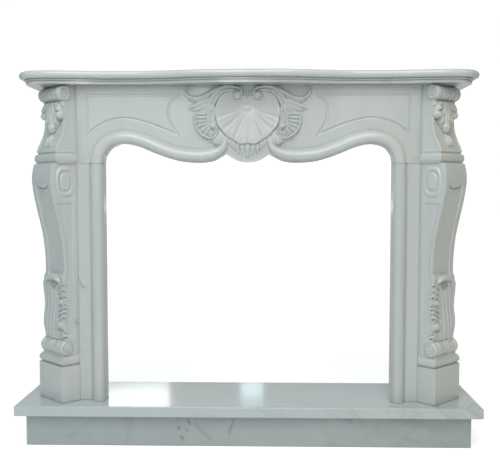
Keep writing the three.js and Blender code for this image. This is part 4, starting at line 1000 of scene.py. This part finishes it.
def carveCapitalBroad(field):
    level, flat, middle = field["b"], field["b"][0], capitalCut["middle"]
    inset, breadth = consoleCut["inset"], consoleCut["breadth"]
    # thin border along both arrises
    edge = np.minimum(field["a"] - inset, breadth - inset - field["a"])
    inside = smoothStep(edge, capitalCut["border"] - 1, capitalCut["border"] + 1)
    inside *= smoothStep(level, capitalCut["panelFoot"] - 2, capitalCut["panelFoot"] + 2)
    inside *= 1 - smoothStep(level, capitalCut["panelTop"] - 3, capitalCut["panelTop"] + 3)
    field["h"] -= capitalCut["panelSink"] * inside
    # bellflower
    stroke(field, [(middle, 944), (middle, 928)], 7, 5, outline=0.6)
    for lean in (-1, 1):
        petal = [(middle + lean * 3, 930), (middle + lean * 11, 914), (middle + lean * 12, 892)]
        stroke(field, petal, [7, 10, 6], [7, 10, 7], ends=(0.6, 0.6), outline=1.6)
    stroke(field, [(middle, 926), (middle, 908), (middle, 890)], [7, 10, 6], [8, 12, 9], ends=(0.7, 0.6), outline=1.8)
    pit(field, middle, 886, 9, 4, 3)
    carveCapitalLeaf(field)
    # base torus with its joint recess and the groove over it
    swell = np.sqrt(np.clip(1 - ((flat - capitalCut["torusLevel"]) / capitalCut["torusHalf"]) ** 2, 0, 1))
    torus = capitalCut["torusRoot"] + capitalCut["torusReach"] * swell
    torus = np.where(flat < capitalCut["jointTop"], capitalCut["jointReach"], torus)
    gap = capitalCut["gapDepth"] * np.exp(-((flat - capitalCut["gapLevel"]) / capitalCut["gapHalf"]) ** 2)
    body = np.where(flat < capitalCut["torusTop"], torus, capitalFace(flat) - gap)
    across = np.abs(field["a"] - middle)
    loss = reeded(across, (39, 7, 3.8), (12, 6, 3.6), 3.6 * (1 - smoothStep(across, 10, 60)))
    roll = capitalCut["rollAxis"] + rolled(level, capitalCut["rollLevel"], capitalCut["rollRadius"] - loss)
    spread = np.where(flat < capitalCut["torusTop"] - 0.5, inset - 7.2 + 4.6 * swell, 0.0)
    return spread, np.maximum(np.repeat(body[None, :], field["a"].shape[0], 0), roll)


def carveCapitalFlank(field, reach):
    h, level = field["a"], field["b"]
    axis, rollLevel = capitalCut["rollAxis"], capitalCut["rollLevel"]
    r = np.hypot(h - axis, level - rollLevel)
    fade = smoothStep(h, 6, 34)
    disc = 7.4 * np.sqrt(np.clip(1 - ((r - 21.2) / 6.2) ** 2, 0, 1)) * fade
    disc += 1.6 * (1 - smoothStep(r, 13, 15)) * fade
    disc += 1.8 * np.exp(-((np.hypot(h - 38, level - 1070) - 10) / 1.6) ** 2) * smoothStep(h, 40, 46)
    field["h"] = np.where((level > 1042) & (r < 27.4), np.maximum(disc, 0), field["h"])
    gap = np.exp(-((level - capitalCut["gapLevel"]) / capitalCut["gapHalf"]) ** 2)
    field["h"] -= 2.4 * gap * smoothStep(h, 2, 8)
    inside = smoothStep(h, 11, 13) * smoothStep(reach[None, :] - h, 9, 11)
    inside *= smoothStep(level, 872, 876) * (1 - smoothStep(level, 1030, 1036))
    field["h"] -= capitalCut["flankSink"] * inside


legLevels = np.concatenate([
    np.linspace(consoleCut["legBottom"], 164, 34), np.linspace(164.6, 213.4, 40), np.arange(214.4, 446, consoleCut["cell"]),
    np.arange(448, 684, 4.0), np.arange(686, consoleCut["legTop"], consoleCut["cell"]), [consoleCut["legTop"]]])
capitalLevels = np.concatenate([
    np.linspace(consoleCut["capitalBottom"], 872, 40), np.arange(873, consoleCut["capitalTop"] - 1, 1.3),
    [consoleCut["capitalTop"] - 0.6, consoleCut["capitalTop"]]])
for word, side, shift in (("left", -1, 1.7), ("right", 1, 2.9)):
    console(word + "_leg_carved", legLevels, carveLegBroad, carveLegFlank, side, word + "_leg", shift)
    console(word + "_capital_carved", capitalLevels, carveCapitalBroad, carveCapitalFlank, side, word + "_capital",
            shift + 0.6)
print("consoles carved")


def inward(profile, amount):
    # the profile drawn in by an amount, in plan
    p = np.array(profile, float)
    before, after = np.roll(p, 1, 0), np.roll(p, -1, 0)
    d1, d2 = p - before, after - p
    n1 = np.stack([-d1[:, 1], d1[:, 0]], 1) / np.maximum(np.hypot(*d1.T), 1e-6)[:, None]
    n2 = np.stack([-d2[:, 1], d2[:, 0]], 1) / np.maximum(np.hypot(*d2.T), 1e-6)[:, None]
    mean = n1 + n2
    length = np.maximum(np.hypot(*mean.T), 1e-6)
    mean /= length[:, None]
    turned = np.clip((n1 * mean).sum(1), 0.4, 1)
    return p + mean * (amount / turned)[:, None]


def standing(name, profile, levels, material, nodeName, shift, side=1, joint=0.8):
    # a stone with one plan, drawn in by the given amounts at the given levels
    rings = np.stack([np.column_stack([inward(profile, amount), np.full(len(profile), level)])
                      for level, amount in levels], 1)
    rings[..., 0] *= side
    count, tall = rings.shape[:2]
    quads = gridQuads(count, tall, closed=True)[:, ::side]
    caps = [[i * tall for i in range(count)][::-side], [i * tall + tall - 1 for i in range(count)][::side]]
    mesh = meshFrom(name, rings.reshape(-1, 3), quads, caps)
    marks = np.zeros((count, tall))
    marks[:, :4] = marks[:, -4:] = joint      # dust in the joints at the foot and the head
    placeStone(name, mesh, material, nodeName, shift, marks.ravel())


def softLevels(bottom, top, arris, parts=3):
    # levels and how far each is drawn in, for a small quarter round at both ends
    turns = [math.pi / 2 * k / parts for k in range(parts + 1)]
    low = [(bottom + arris * (1 - math.cos(t)), arris * (1 - math.sin(t))) for t in turns]
    high = [(top - arris * (1 - math.sin(t)), arris * (1 - math.cos(t))) for t in turns]
    return low + [(bottom + arris + 2.6, 0), (top - arris - 1.8, 0)] + high


jambCut = {
    "inner": 499.0, "outer": 589.7, "thickness": 47.0, "rollWidth": 42.0, "rollHeight": 20.0, "quirkWidth": 8.0,
    "quirkDepth": 4.6, "bottom": hearthTop + 0.3, "top": hearthTop + 829.7, "arris": 0.7,
}
plinthCut = {"breadth": 156.0, "reach": 72.0, "bottom": hearthTop + 0.3, "top": hearthTop + 127.7, "corner": 2.2,
             "arris": 1.6}
returnCut = {"outer": 700.3, "thickness": 30.0, "front": wallFront - 157.4, "bottom": hearthTop + 0.3,
             "top": hearthTop + 1096.7, "arris": 0.8}


def jambPlan():
    inner, outer, thick = jambCut["inner"], jambCut["outer"], jambCut["thickness"]
    half, deep = jambCut["rollWidth"] / 2, jambCut["quirkDepth"]
    axis = inner + 1 + half
    quirk, flat = axis + half, axis + half + jambCut["quirkWidth"]
    roll = [(axis - math.cos(t) * half, -math.sin(t) * jambCut["rollHeight"]) for t in np.linspace(0, math.pi, 33)]
    plan = [(inner, thick), (inner, 0.6), (inner + 0.4, 0), *roll, (quirk + 0.6, deep * 0.9), (quirk + 2.2, deep),
            (quirk + 5.0, deep * 0.6), (flat, 0.15), (flat + 1, 0), (outer - 0.8, 0), (outer, 0.8), (outer, thick)]
    return [(x, frontLine + y) for x, y in plan]


def turned(a, h):
    return (consoleCut["start"] + (a + h) * halfRoot, frontLine + (a - h) * halfRoot)


def roundedCorner(a, h, inwards, parts=4):
    # points of a small quarter round at a front corner of the turned plan
    radius, spots = plinthCut["corner"], []
    for t in np.linspace(0, math.pi / 2, parts + 1):
        spots.append(turned(a + inwards * radius * (1 - math.sin(t)), h - radius * (1 - math.cos(t))))
    return spots


def plinthPlan():
    wide, reach = plinthCut["breadth"], plinthCut["reach"]
    plan = [turned(0, 0), *roundedCorner(0, reach, 1)[::-1], *roundedCorner(wide, reach, -1), turned(wide, 0),
            turned(wide / 2, -wide / 2)]
    return [(max(x, consoleCut["start"]), y) for x, y in plan]


def returnPlan():
    near, far = returnCut["outer"] - returnCut["thickness"], returnCut["outer"]
    return [(near, wallFront), (near, returnCut["front"]), (far, returnCut["front"]), (far, wallFront)]


for word, side, shift in (("left", -1, 4.1), ("right", 1, 5.3)):
    for name, plan, cut, stone, later in (("_jamb_moulded", jambPlan(), jambCut, shadedJambMarble, 0),
                                          ("_plinth_block", plinthPlan(), plinthCut, carvedMarble, 0.5),
                                          ("_side_return_slab", returnPlan(), returnCut, carvedMarble, 0.9)):
        standing(word + name, plan, softLevels(cut["bottom"], cut["top"], cut["arris"]), stone,
                 word + name.rpartition("_")[0], shift + later, side)
print("jambs, plinths and returns set")


# shelf: bowed in the middle and at the ears, moulded edge
shelfCut = {"halfWidth": 763.0, "depth": 303.0, "corner": 62.0, "centreBow": 39.0, "earBow": 20.0,
            "bottom": 1243.0, "noseRadius": 12.5, "noseReach": 23.0, "frontSteps": 150, "cornerSteps": 18}


def shelfLine():
    # right half of the shelf's front and end, from the middle to the wall
    start, depth = shelfCut["halfWidth"] - shelfCut["corner"], shelfCut["depth"]
    x = np.linspace(0, start, shelfCut["frontSteps"])
    bow = shelfCut["centreBow"] * (1 - smoothStep(x / start, 0.12, 0.54))
    bow += shelfCut["earBow"] * smoothStep(x / start, 0.68, 0.97)
    t = math.pi / 2 * (np.arange(1, shelfCut["cornerSteps"] + 1) / shelfCut["cornerSteps"] - 1)
    low = shelfCut["corner"] - depth - bow[-1]
    corner = np.stack([start + shelfCut["corner"] * np.cos(t), low + shelfCut["corner"] * np.sin(t)], 1)
    end = [(shelfCut["halfWidth"], low * (1 - share)) for share in (0.25, 0.5, 0.75, 1.0)]
    return np.concatenate([np.stack([x, -(depth + bow)], 1), corner, end])


def shelfProfile():
    # how far each level stands out: lower fillets, then the bullnose
    radius, centre = shelfCut["noseRadius"], shelfCut["noseReach"] - shelfCut["noseRadius"]
    rows = [(-0.6, 0), (0, 0.6), (0, 7.4), (-0.5, 8.0), (-2.5, 8.6), (-2.5, 10.2), (4.4, 10.8), (5, 11.4), (5, 14.4),
            (4.5, 15.0), (2.6, 15.6), (2.0, 16.4), (3.2, 17.0), (centre, 17.0)]
    return rows + [(centre + radius * math.cos(t), 17 + radius + radius * math.sin(t))
                   for t in np.linspace(-math.pi / 2, math.pi / 2, 19)[1:]]


def shelfStone():
    half = shelfLine()
    line = np.vstack([half[:0:-1] * [-1, 1], half])
    run = np.gradient(line, axis=0)
    run /= np.hypot(run[:, 0], run[:, 1])[:, None]
    normal = np.stack([run[:, 1], -run[:, 0]], 1)
    normal[np.abs(line[:, 0]) > shelfCut["halfWidth"] - 0.01] *= [1, 0]      # the ends stay straight
    normal /= np.hypot(normal[:, 0], normal[:, 1])[:, None]
    rings = np.stack([np.column_stack([line + normal * off, np.full(len(line), level)]) for off, level in shelfProfile()], 1)
    rings += [0, wallFront, shelfCut["bottom"]]
    rings[[0, -1], :, 1] = wallFront
    count, tall = rings.shape[:2]
    lid = [i * tall + tall - 1 for i in range(count)]
    underside = [i * tall for i in range(count - 1, -1, -1)]
    back = list(range(tall)) + [(count - 1) * tall + r for r in range(tall - 1, -1, -1)]
    mesh = meshFrom("shelfStone", rings.reshape(-1, 3), gridQuads(count, tall), [lid, underside, back])
    placeStone("shelf_moulded", mesh, shelfMarble, "shelf", 0.9, crease=30)


shelfStone()
print("shelf moulded")


# hearth: polished slab over a low riser
hearthCut = {"halfWidth": 800.02, "depth": 350.0, "bottom": 110.3, "top": 146.0, "edge": 4.0, "lowEdge": 2.0,
             "riserHeight": 110.0, "setback": 33.0, "board": 30.0, "riserArris": 1.0}


def slabLevels():
    low, high = hearthCut["lowEdge"], hearthCut["edge"]
    rows = [(hearthCut["bottom"] + low * (1 - math.cos(t)), low * (1 - math.sin(t))) for t in np.linspace(0, math.pi / 2, 5)]
    return rows + [(hearthCut["top"] - high * (1 - math.sin(t)), high * (1 - math.cos(t)))
                   for t in np.linspace(0, math.pi / 2, 7)]


def blockPlan(half, y0, y1, parts=24):
    # long sides in several parts, so that the polish follows the slab
    return [(x, y0) for x in np.linspace(-half, half, parts)] + [(x, y1) for x in np.linspace(half, -half, parts)]


slabFront = wallFront - hearthCut["depth"]
standing("hearth_slab_polished", blockPlan(hearthCut["halfWidth"], slabFront, wallFront), slabLevels(), hearthMarble,
         "hearth_slab", 0.0, joint=0.0)
riserHalf, riserLine = hearthCut["halfWidth"] - hearthCut["setback"], slabFront + hearthCut["setback"]
riserRear = riserLine + hearthCut["board"]
riserRows = softLevels(0, hearthCut["riserHeight"], hearthCut["riserArris"])
standing("riser_front_board", blockPlan(riserHalf, riserLine, riserRear), riserRows, riserStoneAndShadeMarble, "riser_front",
         0.5)
inside = riserHalf - hearthCut["board"]
endPlan = [(inside, riserRear + 0.3), (riserHalf, riserRear + 0.3), (riserHalf, wallFront), (inside, wallFront)]
for word, side, shift in (("left", -1, 6.3), ("right", 1, 7.7)):
    standing("riser_" + word + "_end_board", endPlan, riserRows, riserStoneAndShadeMarble, "riser_" + word + "_end",
             shift, side)
print("hearth laid")


cameraSet = {"lens": 55.87, "sensor": 36, "place": (0.0716, -2.7647, 0.8846), "down": 3.54, "turn": 1.36}
camera = bpy.data.objects.new("camera", bpy.data.cameras.new("camera"))
camera.data.lens, camera.data.sensor_width = cameraSet["lens"], cameraSet["sensor"]
camera.location = cameraSet["place"]
camera.rotation_euler = (math.radians(90 - cameraSet["down"]), 0, math.radians(cameraSet["turn"]))
bpy.context.scene.collection.objects.link(camera)
bpy.context.scene.camera = camera

middle, slab = (0, 0, 1.0), (0, 0, 0.146)
lightSet = {       # place, aim, size, power, colour; the last two are the windows that the slab mirrors
    "front": ((-0.2, -3.4, 3.4), middle, (2.8, 2.8), 75, (0.985, 0.985, 1.0)),
    "top": ((0.0, -1.6, 4.2), (0, 0, 0.9), (2.6, 2.6), 42, (0.97, 1.0, 1.0)),
    "left": ((-2.6, -1.9, 2.5), middle, (1.8, 1.8), 10.5, (0.62, 0.93, 1.0)),
    "right": ((2.6, -1.9, 2.5), middle, (1.8, 1.8), 9.5, (1.0, 0.8, 0.24)),
    "spark": ((-0.25, -3.4, 1.75), (0, 0, 1.1), (0.42, 0.42), 4.2, (1.0, 1.0, 1.0)),
    "windowNear": ((-0.88, 2.4, 0.84), (-0.4, 0, 0.146), (0.56, 0.2), 0.92, (1.0, 1.0, 1.0)),
    "windowFar": ((-0.04, 2.5, 0.775), slab, (0.15, 0.07), 0.12, (0.75, 0.95, 1.0)),
}
for name, (place, aim, size, power, color) in lightSet.items():
    lamp = bpy.data.lights.new(name, "AREA")
    lamp.energy, lamp.color, lamp.shape = power, color, "RECTANGLE"
    lamp.size, lamp.size_y = size
    holder = bpy.data.objects.new(name + "_light", lamp)
    holder.location = place
    x, y, z = [t - p for t, p in zip(aim, place)]
    holder.rotation_euler = (math.atan2(math.hypot(x, y), -z), 0, math.atan2(y, x) - math.pi / 2)
    bpy.context.scene.collection.objects.link(holder)

world = bpy.data.worlds.new("studio")
bpy.context.scene.world = world
world.use_nodes = True
world.node_tree.nodes["Background"].inputs[0].default_value = (0.93, 0.96, 1.0, 1)
world.node_tree.nodes["Background"].inputs[1].default_value = 0.2

backdropCut = {"near": -7.0, "far": 3.4, "bend": 1.6, "height": 6.0, "half": 7.0, "seenGlow": 0.52, "glow": 0.04}


def makeBackdrop():
    rows = [(backdropCut["near"], 0.0)]
    start = backdropCut["far"] - backdropCut["bend"]
    for t in np.linspace(0, math.pi / 2, 14):
        rows.append((start + backdropCut["bend"] * math.sin(t), backdropCut["bend"] * (1 - math.cos(t))))
    rows.append((backdropCut["far"], backdropCut["height"]))
    rings = np.array([[(x, y, z) for y, z in rows] for x in (-backdropCut["half"], backdropCut["half"])]) / mm
    mesh = meshFrom("backdrop", rings.reshape(-1, 3), gridQuads(2, len(rows)))
    mesh.polygons.foreach_set("use_smooth", np.ones(len(mesh.polygons), bool))
    paper = bpy.data.materials.new("paper")
    paper.use_nodes = True
    shader = paper.node_tree.nodes["Principled BSDF"]
    shader.inputs["Base Color"].default_value = (0.93, 0.94, 0.945, 1)
    shader.inputs["Roughness"].default_value = 0.9
    shader.inputs["Emission Color"].default_value = (1, 1, 1, 1)
    seen = node(paper.node_tree, "ShaderNodeLightPath")
    glow = math2(paper.node_tree, "MULTIPLY_ADD", seen.outputs["Is Camera Ray"], backdropCut["seenGlow"],
                 backdropCut["glow"])
    paper.node_tree.links.new(glow, shader.inputs["Emission Strength"])
    mesh.materials.append(paper)
    piece = bpy.data.objects.new("backdrop", mesh)
    bpy.context.scene.collection.objects.link(piece)


makeBackdrop()
bpy.context.scene.view_settings.view_transform = "Standard"
print("studio lit")
